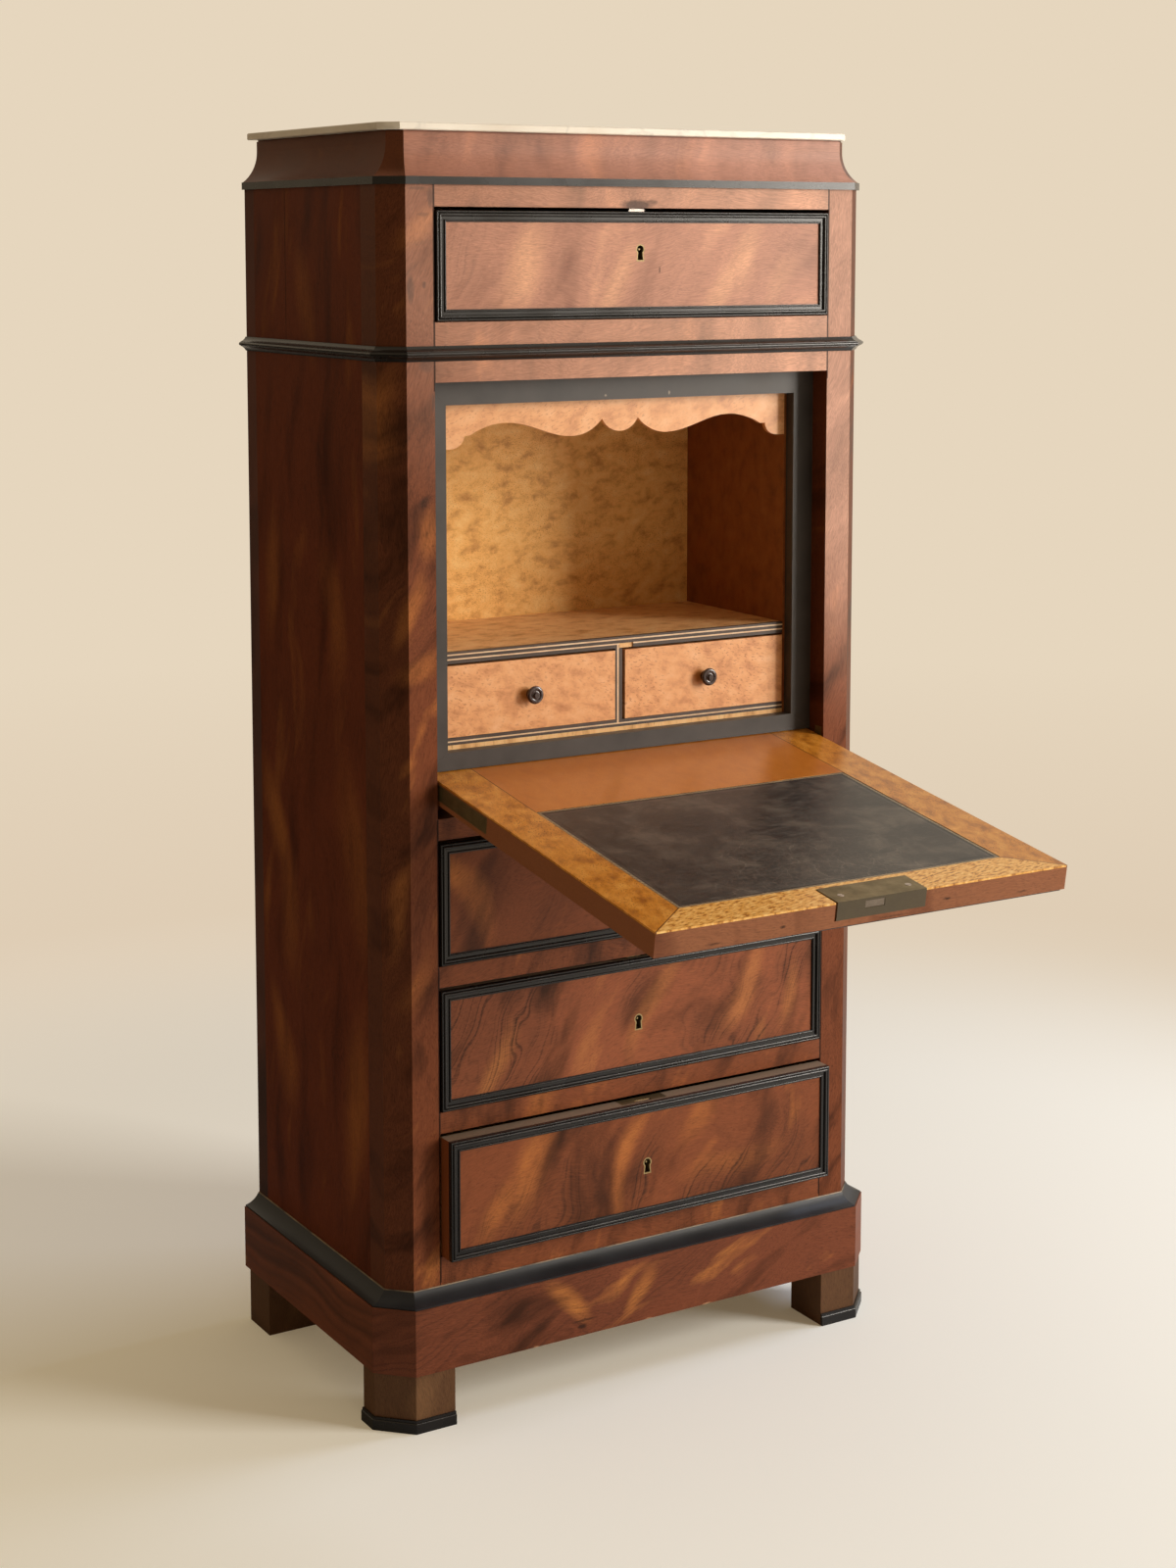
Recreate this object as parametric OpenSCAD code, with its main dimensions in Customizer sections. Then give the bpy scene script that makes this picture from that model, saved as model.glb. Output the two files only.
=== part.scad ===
// Fall-front secretary: a tall case with canted front corners on a plinth and four feet, with a
// marble slab on top, a frieze drawer under a cavetto cornice, a fall that opens on pivots to make
// the writing surface, and three long drawers below. Sizes are in millimetres. Inside placed() the
// front face of the case is the plane y = 0. It stands as photographed: fall down, the frieze
// drawer's bolt thrown and the lowest drawer ajar.

/* [Case] */
// Width over the side faces
case_w = 640; // [600:1:720]
// Depth from the front face to the back edge
case_d = 370; // [350:1:420]
// Leg of the canted front corners, measured along the front
cant = 24; // [20:1:32]
// Width of a front stile between its cant and the openings
stile_w = 34; // [30:1:44]
// Front to back depth of the corner posts and the rails
post_d = 60; // [50:1:80]
// Thickness of the side panels
side_t = 20; // [16:1:24]
// Depth of the joint between the upper side boards, from the front face
side_joint = 257; // [150:1:300]
// Thickness of the framed back
back_t = 26; // [20:1:30]
// Front to back width of the back stiles
back_stile_w = 58; // [40:1:70]
// Thickness of the back's boards
back_board_t = 8; // [6:1:12]
// Number of boards across the back
back_boards_n = 6; // [4:1:8]

/* [Heights, from the floor up] */
// Height of the feet
foot_h = 66; // [50:1:90]
// Height of the plinth
plinth_h = 76; // [60:1:100]
// Height of the concave base moulding
base_mould_h = 15; // [12:0.5:20]
// Height of the lowest rail that shows above the base moulding
bottom_rail_h = 32.5; // [26:0.5:50]
// Height of each long drawer's front
drawer_h = 138; // [120:1:160]
// Height of the rail between two drawers
rail_h = 24; // [18:0.5:32]
// Height of the opening that the fall closes
fall_opening_h = 481; // [460:1:520]
// Height of the rail between the fall and the frieze drawer
upper_rail_h = 65; // [50:1:90]
// Height of the frieze drawer's front
frieze_h = 119; // [105:1:140]
// Height of the rail over the frieze drawer
top_rail_h = 23.5; // [18:0.5:32]
// Height of the ebonised fillet under the cornice
fillet_h = 8.5; // [6:0.5:12]
// Height of the concave cornice
cornice_h = 49.5; // [44:0.5:60]
// Thickness of the marble slab
marble_t = 8; // [6:0.5:20]

/* [Mouldings] */
// Inset of the cornice's top from the case faces
cornice_set = 16.5; // [14:0.5:20]
// Radius of the cornice's hollow
cavetto_r = 44; // [40:1:60]
// Height of the curved part of the cornice's hollow
cavetto_rise = 36; // [30:0.5:38]
// Step of the fillet beyond the foot of the cornice
fillet_step = 1.3; // [0.5:0.1:4]
// Depth of the built-up cornice behind the case faces
cornice_in = 30; // [26:1:32]
// Overhang of the marble beyond the cornice's top
marble_over = 7; // [4:0.5:9]
// How far the loose slab has slid to the left
marble_slid = 5; // [0:0.5:6]
// Bevel on the slab's edges
marble_bevel = 1; // [0.4:0.1:2]
// Height of the moulding between the upper and the lower part
mid_mould_h = 16.5; // [14:0.5:24]
// Projection of that moulding
mid_mould_out = 10; // [8:0.5:14]
// Height of that moulding's lower edge above the fall opening
mid_mould_up = 23; // [12:0.5:28]
// Projection of the plinth from the case faces
plinth_out = 20; // [16:0.5:26]
// Thickness of the plinth's boards
plinth_t = 40; // [30:1:44]
// Width of the ebonised moulding around the drawer fronts and the fall
band_w = 12.5; // [10:0.5:16]
// Depth to which that moulding is let into the drawer fronts
band_in = 3.3; // [1:0.1:5]
// Gap of a glued joint
glue_gap = 0.06; // [0.04:0.01:0.2]

/* [Feet] */
// Width of the front feet
foot_w = 84; // [70:1:100]
// Front to back depth of the front feet
foot_d = 62; // [50:1:90]
// Inset of the feet from the plinth's faces
foot_set = 2; // [0:0.5:6]
// Width of the back feet
back_foot_w = 62; // [50:1:90]
// Front to back depth of the back feet
back_foot_d = 56; // [40:1:80]
// Inset of the back feet from the back
back_foot_set = 10; // [0:1:30]
// Height of the ebonised toe moulding
toe_h = 15; // [10:1:24]
// Projection of the toe moulding
toe_out = 3.5; // [2:0.5:6]

/* [Long drawers] */
// Gap over a drawer front
drawer_gap_top = 4; // [2:0.5:6]
// Gap under a drawer front
drawer_gap_bottom = 1; // [0.5:0.1:2]
// Gap beside a drawer front
drawer_gap_side = 2; // [1:0.5:4]
// Thickness of the drawer fronts
front_t = 22; // [20:1:28]
// Thickness of the drawer sides and backs
drawer_side_t = 10; // [8:1:14]
// Thickness of the drawer bottoms
drawer_bottom_t = 6; // [4:1:9]
// Gap between the shut drawers and the back
drawer_back_gap = 19; // [4:1:60]
// How far the drawer sides stay below the top of the front
drawer_side_drop = 8; // [4:1:16]
// How far the lowest drawer stands open
drawer_ajar = 20; // [14:1:60]
// Width of a drawer runner
runner_w = 60; // [40:1:80]
// Clearance between a drawer side and its runner
slide_gap = 0.3; // [0.2:0.1:0.5]
// Height of a drawer guide
guide_h = 20; // [12:1:30]
// Thickness of the dust boards
dust_t = 6; // [4:1:9]

/* [Locks] */
// Depth of the wood in front of a drawer lock
lock_y = 6; // [4:0.5:8]
// Width of a drawer lock
lock_w = 62; // [44:1:80]
// Width of a drawer lock's bolt
bolt_w = 20.5; // [14:0.5:26]
// Thickness of a drawer lock's bolt
bolt_t = 4; // [3:0.5:6]
// Length of a drawer lock's bolt
bolt_len = 30; // [20:1:31]
// How far the frieze drawer's bolt stands up
bolt_up = 3.4; // [1:0.1:3.6]
// Clearance around a bolt
bolt_gap = 0.3; // [0.2:0.1:0.5]
// Depth of the mortises that the bolts enter
mortise_d = 8; // [7:0.5:12]
// Radius of a keyhole's round part
key_r = 4.3; // [3:0.1:5]
// Length of a keyhole below its centre
key_drop = 12; // [9:0.5:15]
// Width at which a keyhole's skirt starts
key_neck = 4.8; // [3:0.1:6]
// Width of a keyhole's lower end
key_slot = 7.4; // [4:0.1:9]
// Thickness of the brass keyhole liner
liner_t = 1.5; // [0.8:0.1:1.8]
// Keyhole centre below the top edge of the frieze drawer
frieze_key = 42; // [40:0.5:50]
// Keyhole centre below the top edge of the long drawers
drawer_key = 72; // [42:1:80]
// Radius of the pin that a hollow key slides over
key_pin_r = 1.1; // [0.8:0.1:1.5]

/* [Fall] */
// Thickness of the fall
fall_t = 27; // [24:0.5:32]
// Gap over and under the fall
fall_gap = 1.5; // [1.2:0.1:3]
// Gap beside the fall
fall_gap_side = 3; // [2:0.5:5]
// Angle from shut to open
fall_angle = 98.5; // [92:0.5:102]
// Height of the pivot above the fall's lower edge
pivot_up = 24.7; // [23:0.1:30]
// Depth of the pivot behind the fall's outer face
pivot_y = 10.3; // [9:0.1:12]
// Radius of the rounded lower edge
fall_round = 4; // [4:0.5:6]
// Radius of the pivot pins
pin_r = 3.5; // [2.5:0.1:4]
// Radial clearance of the pivot pins
pin_gap = 0.1; // [0.05:0.05:0.3]
// Depth to which a pin enters the post
pin_in = 9; // [6:0.5:14]
// Thickness of the pivot plates
pivot_plate_t = 3; // [2:0.5:4]
// Width of the pivot plates on the fall
pivot_plate_w = 18; // [14:0.5:18.5]
// Length of the pivot plates on the fall
pivot_plate_l = 130; // [60:1:160]
// Reach of those plates in front of the pivot, with the fall shut
pivot_plate_fore = 5; // [4.5:0.1:6]
// Reach of those plates past the pivot, towards the edge behind it
pivot_plate_tail = 13; // [8:0.5:16]
// Width of the pivot sockets in the posts
socket_w = 13; // [12:0.5:16]
// Length of the pivot sockets
socket_l = 52; // [40:1:70]
// Thickness of the birch cross-banding on the inner face
banding_t = 2; // [1.5:0.1:3]
// Band at the free edge
band_front = 44; // [40:0.5:60]
// Band at either side
band_side = 54.5; // [46:0.5:70]
// Band at the pivoted edge
band_rear = 150; // [100:1:180]
// Thickness of the leather
leather_t = 1.6; // [1:0.1:1.8]
// Inset of the outer face's moulding from the fall's edges
fall_band_set = 3; // [3:0.5:8]
// Distance from the pivot to the lost piece of that moulding, on the left
lost_from = 275; // [60:1:380]
// Length of that lost piece
lost_l = 27; // [5:1:50]
// Width of the fall lock's plate
plate_w = 113; // [96:1:130]
// Depth of that plate on the inner face
plate_d = 37.5; // [30:0.5:38]
// Thickness of that plate
plate_t = 2; // [1.2:0.1:2.5]
// Height of that plate on the free edge
plate_edge = 20; // [16:0.5:21]
// Offset of that plate from the middle
plate_x = 14; // [0:1:16]
// Gap at the left end of that plate, where its recess is too long
plate_slack = 2.5; // [0.2:0.1:4]
// Width of the fall lock's case
fall_lock_w = 80; // [60:1:94]
// Length of the fall lock's case
fall_lock_l = 60; // [54:1:80]
// Thickness of the fall lock's case
fall_lock_t = 13; // [12:0.5:14]
// Width of the fall lock's bolt
fall_bolt_w = 24; // [16:1:30]
// Thickness of the fall lock's bolt
fall_bolt_t = 7.5; // [5:0.5:8]
// Offset of the fall lock's bolt from the middle
fall_bolt_x = 5; // [0:1:10]
// Length of the fall lock's bolt
fall_bolt_l = 30; // [20:1:34]
// Depth of the bolt behind the inner face
fall_bolt_in = 3.2; // [2.6:0.1:4]
// Keyhole centre below the fall's top edge
fall_key = 45; // [42:0.5:52]

/* [Stop frame and interior] */
// Gap between the shut fall and the stop frame
stop_gap = 1; // [0.6:0.1:2]
// Thickness of the stop frame
stop_t = 15; // [13:0.5:20]
// Width of the stop frame's top member
stop_top_w = 27; // [20:0.5:34]
// Width of the stop frame's side members
stop_side_w = 28; // [22:0.5:34]
// Width of the stop frame's lower member
stop_sill_w = 20; // [16:0.5:30]
// Gap between the open fall and its stop
tail_gap = 0.3; // [0.2:0.1:0.6]
// Clear width of the interior beyond the side members' inner edges
lining_show = 3; // [1:0.5:6]
// Thickness of the interior's side boards
lining_t = 12; // [10:1:16]
// Depth of the interior from the face of its drawers
interior_d = 210; // [150:1:250]
// Thickness of the interior's back, floor, shelf front edge and other thin boards
thin_t = 6; // [5:0.5:8]
// Height of the floor's banded edge over the stop frame
floor_edge_h = 13.2; // [11:0.1:16]
// Height of the birch strip in that edge
floor_birch = 5; // [3:0.1:5.5]
// Height of the dark strip on top of that edge
floor_top = 3.5; // [2:0.1:3.5]
// Height of the small drawers' fronts
small_h = 81; // [60:1:100]
// Gap over the small drawers
small_gap_top = 2.5; // [1:0.5:3]
// Gap under and beside the small drawers
small_gap = 0.5; // [0.3:0.1:1]
// Further gap beside the right small drawer, which is narrower
small_play = 3.4; // [0:0.1:6]
// Thickness of the small drawers' fronts
small_front_t = 10; // [8:0.5:12]
// Gap behind the small drawers
small_back_gap = 10; // [2:1:60]
// Thickness of the board between the small drawers
divider_t = 9.2; // [8:0.1:12]
// Offset of that board from the middle
divider_at = -1; // [-4:0.1:4]
// Width of the dark strip at the left of that board's front edge
divider_dark = 2.2; // [1:0.1:3]
// Width of the light line in that edge
divider_light = 2.2; // [1:0.1:2.5]
// Thickness of the shelf over the small drawers
shelf_t = 13.4; // [12:0.1:18]
// Height of the lowest dark strip in the shelf's front edge
shelf_low = 4.1; // [2:0.1:4.5]
// Height of the highest dark strip in that edge
shelf_high = 2.5; // [1.5:0.1:3]
// Height of a light line let into a dark edge
string_h = 1.6; // [0.8:0.1:2]
// Left end of the chip in the shelf's front edge, from the middle
chip_at = -0.5; // [-1:0.1:60]
// Width of that chip
chip_w = 19; // [5:0.5:40]
// Depth of that chip
chip_in = 1.5; // [0.5:0.1:4]
// Underside of the interior's ceiling below the head of the opening
ceiling_drop = 15.5; // [14:0.5:19]
// Length of the small drawers' knobs
knob_l = 13.5; // [10:0.5:14]
// Radius of the small drawers' knobs
knob_r = 9.5; // [7:0.5:12]

/* [Valance, from the middle outwards] */
// Drop of the middle lobe below the stop frame's top member
lobe_drop = 37.5; // [30:0.5:50]
// Drop of the cusps beside the middle lobe
cusp_drop = 22.5; // [16:0.5:28]
// Distance of the cusps from the middle
cusp_x = 24.2; // [18:0.1:30]
// Drop of the lowest point of the side lobes
dip_drop = 41; // [36:0.5:52]
// Distance of that point from the middle
dip_x = 63.5; // [55:0.5:72]
// Drop of the side arches
arch_drop = 22.8; // [16:0.1:30]
// Distance of the side arches' crowns from the middle
arch_x = 150; // [135:1:160]
// Drop of the small step beside the end lobes
step_drop = 35.5; // [32:0.5:44]
// Width of that step
step_w = 7; // [4:0.5:10]
// Distance of the step's inner end from the side board
step_in = 35; // [30:1:42]
// Drop of the end lobes
tail_drop = 50; // [46:0.5:60]

/* [Hidden] */
$fn = 64;

// Heights of the parts, worked out from the floor up
z_plinth = foot_h;
z_case = foot_h + plinth_h;
z_bottom_rail = z_case + base_mould_h + bottom_rail_h;
drawer_pitch = drawer_gap_bottom + drawer_h + drawer_gap_top + rail_h;
z_lower = z_bottom_rail + drawer_gap_bottom;
z_middle = z_lower + drawer_pitch;
z_upper = z_middle + drawer_pitch;
z_sill = z_bottom_rail + 3 * drawer_pitch;
z_head = z_sill + fall_opening_h;
z_upper_rail = z_head + upper_rail_h;
z_frieze = z_upper_rail + drawer_gap_bottom;
z_top_rail = z_frieze + frieze_h + drawer_gap_top;
z_cornice = z_top_rail + top_rail_h;
z_cavetto = z_cornice + fillet_h;
z_marble = z_cavetto + cornice_h;

// Widths
half_w = case_w / 2;
open_w = case_w - 2 * (cant + stile_w);
inner_w = case_w - 2 * side_t;
drawer_w = open_w - 2 * drawer_gap_side;
drawer_d = case_d - back_t - drawer_back_gap;
box_w = drawer_w - 2;
fall_w = open_w - 2 * fall_gap_side;
stop_w = open_w - 2 * stop_side_w;
lining_w = stop_w - 2 * lining_show;
back_w = case_w - 2 * back_stile_w;

// The fall shut: its edges and its pivot; then the stop that its tail meets when it is open
z_fall = z_sill + fall_gap;
fall_l = fall_opening_h - 2 * fall_gap;
z_fall_top = z_fall + fall_l;
z_pivot = z_fall + pivot_up;
tail_y = fall_t - pivot_y;
tail_r = norm([tail_y, pivot_up]);
stop_y = fall_t + stop_gap;
z_stop = z_pivot + tail_y * sin(fall_angle) - pivot_up * cos(fall_angle) + tail_gap;
inner_y = max(stop_y + stop_t, pivot_y + tail_r + stop_gap);
fall_reach = (z_fall_top - z_pivot) * sin(fall_angle) - tail_y * cos(fall_angle) - pivot_y;

// Heights inside
z_floor_edge = z_stop + stop_sill_w;
z_floor = z_floor_edge + floor_edge_h;
z_small = z_floor + small_gap;
z_shelf = z_small + small_h + small_gap_top;
z_ceiling = z_head - ceiling_drop;
z_stop_top = z_head - stop_top_w;
interior_y = inner_y + interior_d;
small_d = interior_d - small_back_gap;

// The origin is under the middle of the open piece, so the front face lies this far back
front_y = (fall_reach - case_d) / 2;

// Small fixed details
bolt_y = lock_y + 2;
arc_steps = 9;
reach = 12;
cavetto_foot = cavetto_r - sqrt(pow(cavetto_r, 2) - pow(cavetto_rise, 2)) - cornice_set;
fillet_out = cavetto_foot + fillet_step;

mahogany = "#9c5f45";
dark_mahogany = "#5b2c1c";
ebonised = "#2b2a29";
birch = "#d9a06b";
pine = "#b58a5e";
boxwood = "#e3cf9f";
marble = "#e9e6da";
brass = "#c5a468";
steel = "#a9a398";
leather = "#1f1b18";

module placed() translate([0, front_y, 0]) children();

// Outline of the case in plan, moved outwards by o: side, cant, front, cant, side
function plan(o) = let (w = half_w + o, l = cant + o * (2 - sqrt(2)))
    [[-w, case_d], [-w, l - o], [l - w, -o], [w - l, -o], [w, l - o], [w, case_d]];

// Centre of a circle of radius r through a and b, to the right of the way from a to b
function arc_centre(a, b, r) = let (d = b - a, n = norm(d))
    (a + b) / 2 + sqrt(r * r - n * n / 4) * [d.y, -d.x] / n;

module box(x, y, z) {
    translate([x[0], y[0], z[0]]) cube([x[1] - x[0], y[1] - y[0], z[1] - z[0]]);
}

module both_sides() {
    children();
    mirror([1, 0, 0]) children();
}

// One length of moulding along edge i of the plan, mitred at both ends, with its profile drawn
// outwards and upwards
module run(i, deep, out, high) {
    p = plan(0)[i];
    q = plan(0)[i + 1];
    l = norm(q - p);
    t = (q - p) / l;
    a = plan(-deep);
    b = plan(out);
    g = t * glue_gap;
    intersection() {
        translate([q.x, q.y, 0]) rotate([0, 0, atan2(-t.x, t.y)]) rotate([90, 0, 0])
            translate([0, 0, -reach - out]) linear_extrude(l + 2 * (reach + out)) children();
        translate([0, 0, -1]) linear_extrude(high + 2)
            polygon([a[i] + g, a[i + 1] - g, b[i + 1] - g, b[i] + g]);
    }
}

module runs(deep, out, high) {
    for (i = [0:4]) run(i, deep, out, high) children();
}

// Four mitred lengths round a rectangle that faces forwards; the profile is drawn forwards as
// minus x, and from the outer edge inwards as minus y
module mitred_frame(w, h, band) {
    for (k = [0:3]) {
        l = k % 2 == 0 ? w : h;
        away = k % 2 == 0 ? h / 2 : w / 2;
        rotate([0, 90 * k, 0]) translate([0, 0, away]) intersection() {
            translate([-l / 2, 0, 0]) rotate([90, 0, 90]) linear_extrude(l) children();
            translate([0, reach, 0]) rotate([90, 0, 0]) linear_extrude(2 * reach)
                polygon([[glue_gap - l / 2, 0], [l / 2 - glue_gap, 0],
                    [l / 2 - band - glue_gap, -band], [glue_gap + band - l / 2, -band]]);
        }
    }
}

// From the outer edge to the panel: a small bead, a large one, a flat hollow and a small bead.
// The moulding goes into a rebate where deep is more than nothing.
module bead_profile(deep) {
    edge = [0, 0.2, 0.52, 0.78, 0.95, 1] * band_w;
    base = [0.13, 0.11, 0.06, 0.1, 0.05] * band_w;
    r = [0.1, 0.155, 0, 0.083, 0] * band_w;
    intersection() {
        translate([-band_w, -band_w]) square(band_w);
        for (i = [0:4]) {
            translate([-base[i], -edge[i + 1]]) square([base[i], edge[i + 1] - edge[i]]);
            if (r[i] > 0) translate([-base[i], -(edge[i] + edge[i + 1]) / 2]) circle(r[i], $fn = 24);
        }
    }
    if (deep > 0) translate([0, -band_w]) square([deep, band_w]);
}

module keyhole(grow) {
    circle(key_r + grow, $fn = 40);
    top = key_neck / 2 + grow;
    foot = key_slot / 2 + grow;
    polygon([[-top, 0], [-foot, -key_drop - grow], [foot, -key_drop - grow], [top, 0]]);
}

// A flat shape in the plane of the front, from depth y0 back to y1
module forwards(y0, y1) {
    translate([0, y1, 0]) rotate([90, 0, 0]) linear_extrude(y1 - y0) children();
}

/* Top of the case */

module marble_top() {
    o = marble_over - cornice_set;
    edge = plan(o);
    color(marble) placed() translate([-marble_slid, 0, z_marble]) difference() {
        linear_extrude(marble_t) polygon(edge);
        for (i = [0:5]) {
            p = edge[i];
            q = edge[(i + 1) % 6];
            t = (q - p) / norm(q - p);
            for (s = [0, 1])
                translate([p.x, p.y, s * marble_t]) rotate([0, 0, atan2(t.y, t.x)])
                    rotate([135 - 90 * s, 0, 0])
                        translate([-reach, -2 * marble_bevel, -marble_bevel * sqrt(2) / 2])
                            cube([norm(q - p) + 2 * reach, 4 * marble_bevel, 2 * marble_bevel]);
        }
    }
}

module cavetto_profile() {
    quirk = 1.6;
    difference() {
        translate([-cornice_in, 0]) square([cornice_in + cavetto_foot, cornice_h]);
        translate([cavetto_r - cornice_set, cavetto_rise]) circle(cavetto_r, $fn = 180);
        translate([-cornice_set, cavetto_rise]) square([cavetto_r, cornice_h]);
        translate([-cornice_set - quirk, cornice_h - quirk]) square([cavetto_r, cornice_h]);
    }
}

module cornice() {
    color(mahogany) placed() {
        translate([0, 0, z_cavetto]) runs(cornice_in, fillet_out, cornice_h) cavetto_profile();
        x = half_w - cornice_in - glue_gap;
        box([-x, x], [case_d - side_t, case_d], [z_cavetto, z_marble]);
    }
}

module cornice_fillet() {
    color(ebonised) placed() translate([0, 0, z_cornice])
        runs(cornice_in, fillet_out, fillet_h)
            translate([-cornice_in, 0]) square([cornice_in + fillet_out, fillet_h]);
}

module case_top() {
    color(pine) placed() translate([0, 0, z_cornice]) linear_extrude(fillet_h)
        polygon(plan(-cornice_in));
}

/* Case */

module mid_profile() {
    lip = 2.5;
    step = mid_mould_h * 0.11;
    bead = mid_mould_h * 0.13;
    neck = mid_mould_out - bead;
    low = [lip, step];
    high = [neck, mid_mould_h / 2 - bead - 0.6];
    union() {
        difference() {
            polygon([[0, 0], [lip, 0], low, high, [neck, mid_mould_h - high.y],
                [lip, mid_mould_h - step], [lip, mid_mould_h], [0, mid_mould_h]]);
            translate(arc_centre(low, high, mid_mould_out)) circle(mid_mould_out);
            translate([0, mid_mould_h]) mirror([0, 1])
                translate(arc_centre(low, high, mid_mould_out)) circle(mid_mould_out);
        }
        translate([neck, mid_mould_h / 2]) circle(bead, $fn = 24);
    }
}

module mid_moulding() {
    color(ebonised) placed() translate([0, 0, z_head + mid_mould_up])
        runs(0, mid_mould_out, mid_mould_h) mid_profile();
}

module base_profile() {
    out = plinth_out - 1.5;
    foot = [out, 1.6];
    top = [1.6, base_mould_h - 1.2];
    difference() {
        polygon([[0, 0], [out, 0], foot, top, [top.x, base_mould_h], [0, base_mould_h]]);
        translate(arc_centre(foot, top, 24)) circle(24, $fn = 96);
    }
}

module base_moulding() {
    color(ebonised) placed() translate([0, 0, z_case])
        runs(0, plinth_out, base_mould_h) base_profile();
}

module corner_posts() {
    x = open_w / 2;
    color(mahogany) placed() both_sides() difference() {
        translate([0, 0, z_case]) linear_extrude(z_cornice - z_case)
            polygon([[x, 0], [half_w - cant, 0], [half_w, cant], [half_w, post_d], [x, post_d]]);
        translate([x - 1, pivot_y - socket_w / 2, z_sill])
            cube([1 + pivot_plate_t, socket_w, socket_l]);
        translate([x, pivot_y, z_pivot]) rotate([0, 90, 0]) cylinder(r = pin_r + pin_gap, h = pin_in + 1);
    }
}

module pivot_sockets() {
    x = open_w / 2;
    color(brass) placed() both_sides() difference() {
        translate([x, pivot_y - socket_w / 2, z_sill])
            cube([pivot_plate_t, socket_w, socket_l]);
        translate([x - 1, pivot_y, z_pivot]) rotate([0, 90, 0])
            cylinder(r = pin_r + pin_gap, h = pivot_plate_t + 2);
    }
}

// One board a side up to the middle of the middle moulding, and two above it
module side_panels() {
    x = [half_w - side_t, half_w];
    z = z_head + mid_mould_up + mid_mould_h / 2;
    color(dark_mahogany) placed() both_sides() {
        box(x, [post_d, case_d - back_t], [z_case, z - glue_gap]);
        box(x, [post_d, side_joint - glue_gap], [z, z_cornice]);
        box(x, [side_joint, case_d - back_t], [z, z_cornice]);
    }
}

// Heights of the back's three rails
back_rails = [[z_case, z_case + back_stile_w],
    [z_sill - back_stile_w / 2, z_sill + back_stile_w / 2], [z_cornice - back_stile_w, z_cornice]];

module back_frame() {
    x = back_w / 2;
    y = [case_d - back_t, case_d];
    color(pine) placed() {
        both_sides() box([x, half_w], y, [z_case, z_cornice]);
        for (z = back_rails) box([glue_gap - x, x - glue_gap], y, z);
    }
}

module back_boards() {
    w = back_w / back_boards_n;
    y = case_d - back_t + 4;
    color(pine) placed() for (k = [0, 1], i = [0:back_boards_n - 1])
        box([i * w - back_w / 2 + 0.3, (i + 1) * w - back_w / 2 - 0.3], [y, y + back_board_t],
            [back_rails[k][1], back_rails[k + 1][0]]);
}

// A rail across the front, with a mortise in its underside for a bolt w wide and t thick
module front_rail(z0, z1, w, t, x, y) {
    difference() {
        box([-open_w / 2, open_w / 2], [0, post_d], [z0, z1]);
        if (w > 0) box([x - w / 2 - 1, x + w / 2 + 1], [y - 1, y + t + 1], [z0 - 1, z0 + mortise_d]);
    }
}

module front_rails() {
    color(mahogany) placed() {
        front_rail(z_case, z_bottom_rail, 0, 0, 0, 0);
        for (i = [1:3]) let (z = z_bottom_rail + i * drawer_pitch)
            front_rail(z - rail_h, z, bolt_w, bolt_t, 0, bolt_y);
        front_rail(z_head, z_upper_rail, fall_bolt_w, fall_bolt_t, fall_bolt_x,
            fall_t - fall_bolt_in - fall_bolt_t);
        front_rail(z_top_rail, z_cornice, bolt_w, bolt_t, 0, bolt_y);
    }
}

// Tops of the four sets of runners
runner_tops = [z_bottom_rail, z_bottom_rail + drawer_pitch, z_bottom_rail + 2 * drawer_pitch,
    z_upper_rail];

module dust_boards() {
    x = inner_w / 2 - runner_w;
    y = [post_d, case_d - back_t];
    color(pine) placed() {
        for (z = runner_tops) box([-x, x], y, [z - 2 * dust_t, z - dust_t]);
        box([-inner_w / 2, inner_w / 2], y, [z_sill - 2 * dust_t, z_sill]);
    }
}

module drawer_runners() {
    x = inner_w / 2;
    y = [post_d, case_d - back_t];
    color(pine) placed() for (z = runner_tops) both_sides() {
        box([x - runner_w, x], y, [z - rail_h, z]);
        box([drawer_w / 2 + 0.5, x], y, [z + glue_gap, z + guide_h]);
    }
}

/* Plinth and feet */

module plinth() {
    color(mahogany) placed() translate([0, 0, z_plinth]) {
        runs(plinth_t - plinth_out, plinth_out, plinth_h)
            translate([plinth_out - plinth_t, 0]) square([plinth_t, plinth_h]);
        x = half_w + plinth_out - plinth_t - glue_gap;
        box([-x, x], [case_d - plinth_t, case_d], [0, plinth_h]);
    }
}

module front_feet() {
    o = plinth_out - foot_set;
    e = plan(o);
    color(mahogany) placed() both_sides() linear_extrude(foot_h)
        polygon([[e[4].x - foot_w, -o], e[3], e[4], [e[4].x, foot_d - o],
            [e[4].x - foot_w, foot_d - o]]);
}

module back_feet() {
    x = half_w + plinth_out - foot_set;
    y = case_d - back_foot_set;
    color(dark_mahogany) placed() both_sides()
        box([x - back_foot_w, x], [y - back_foot_d, y], [0, foot_h]);
}

module toe_profile(o) {
    r = 1.4;
    translate([o, 0]) {
        square([toe_out, toe_h - 3 * r]);
        translate([0, toe_h - 3 * r]) square([toe_out - r, 3 * r]);
        translate([toe_out - r, toe_h - 3 * r]) circle(r, $fn = 24);
    }
}

module toe_moulding() {
    o = plinth_out - foot_set;
    x = half_w + o;
    color(ebonised) placed() both_sides() for (i = [2:4]) intersection() {
        run(i, 0, o + toe_out, toe_h) toe_profile(o);
        translate([x - foot_w, -o - reach, 0]) cube([foot_w + reach, foot_d + reach, toe_h + 1]);
    }
}

/* Stop frame and interior */

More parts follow.
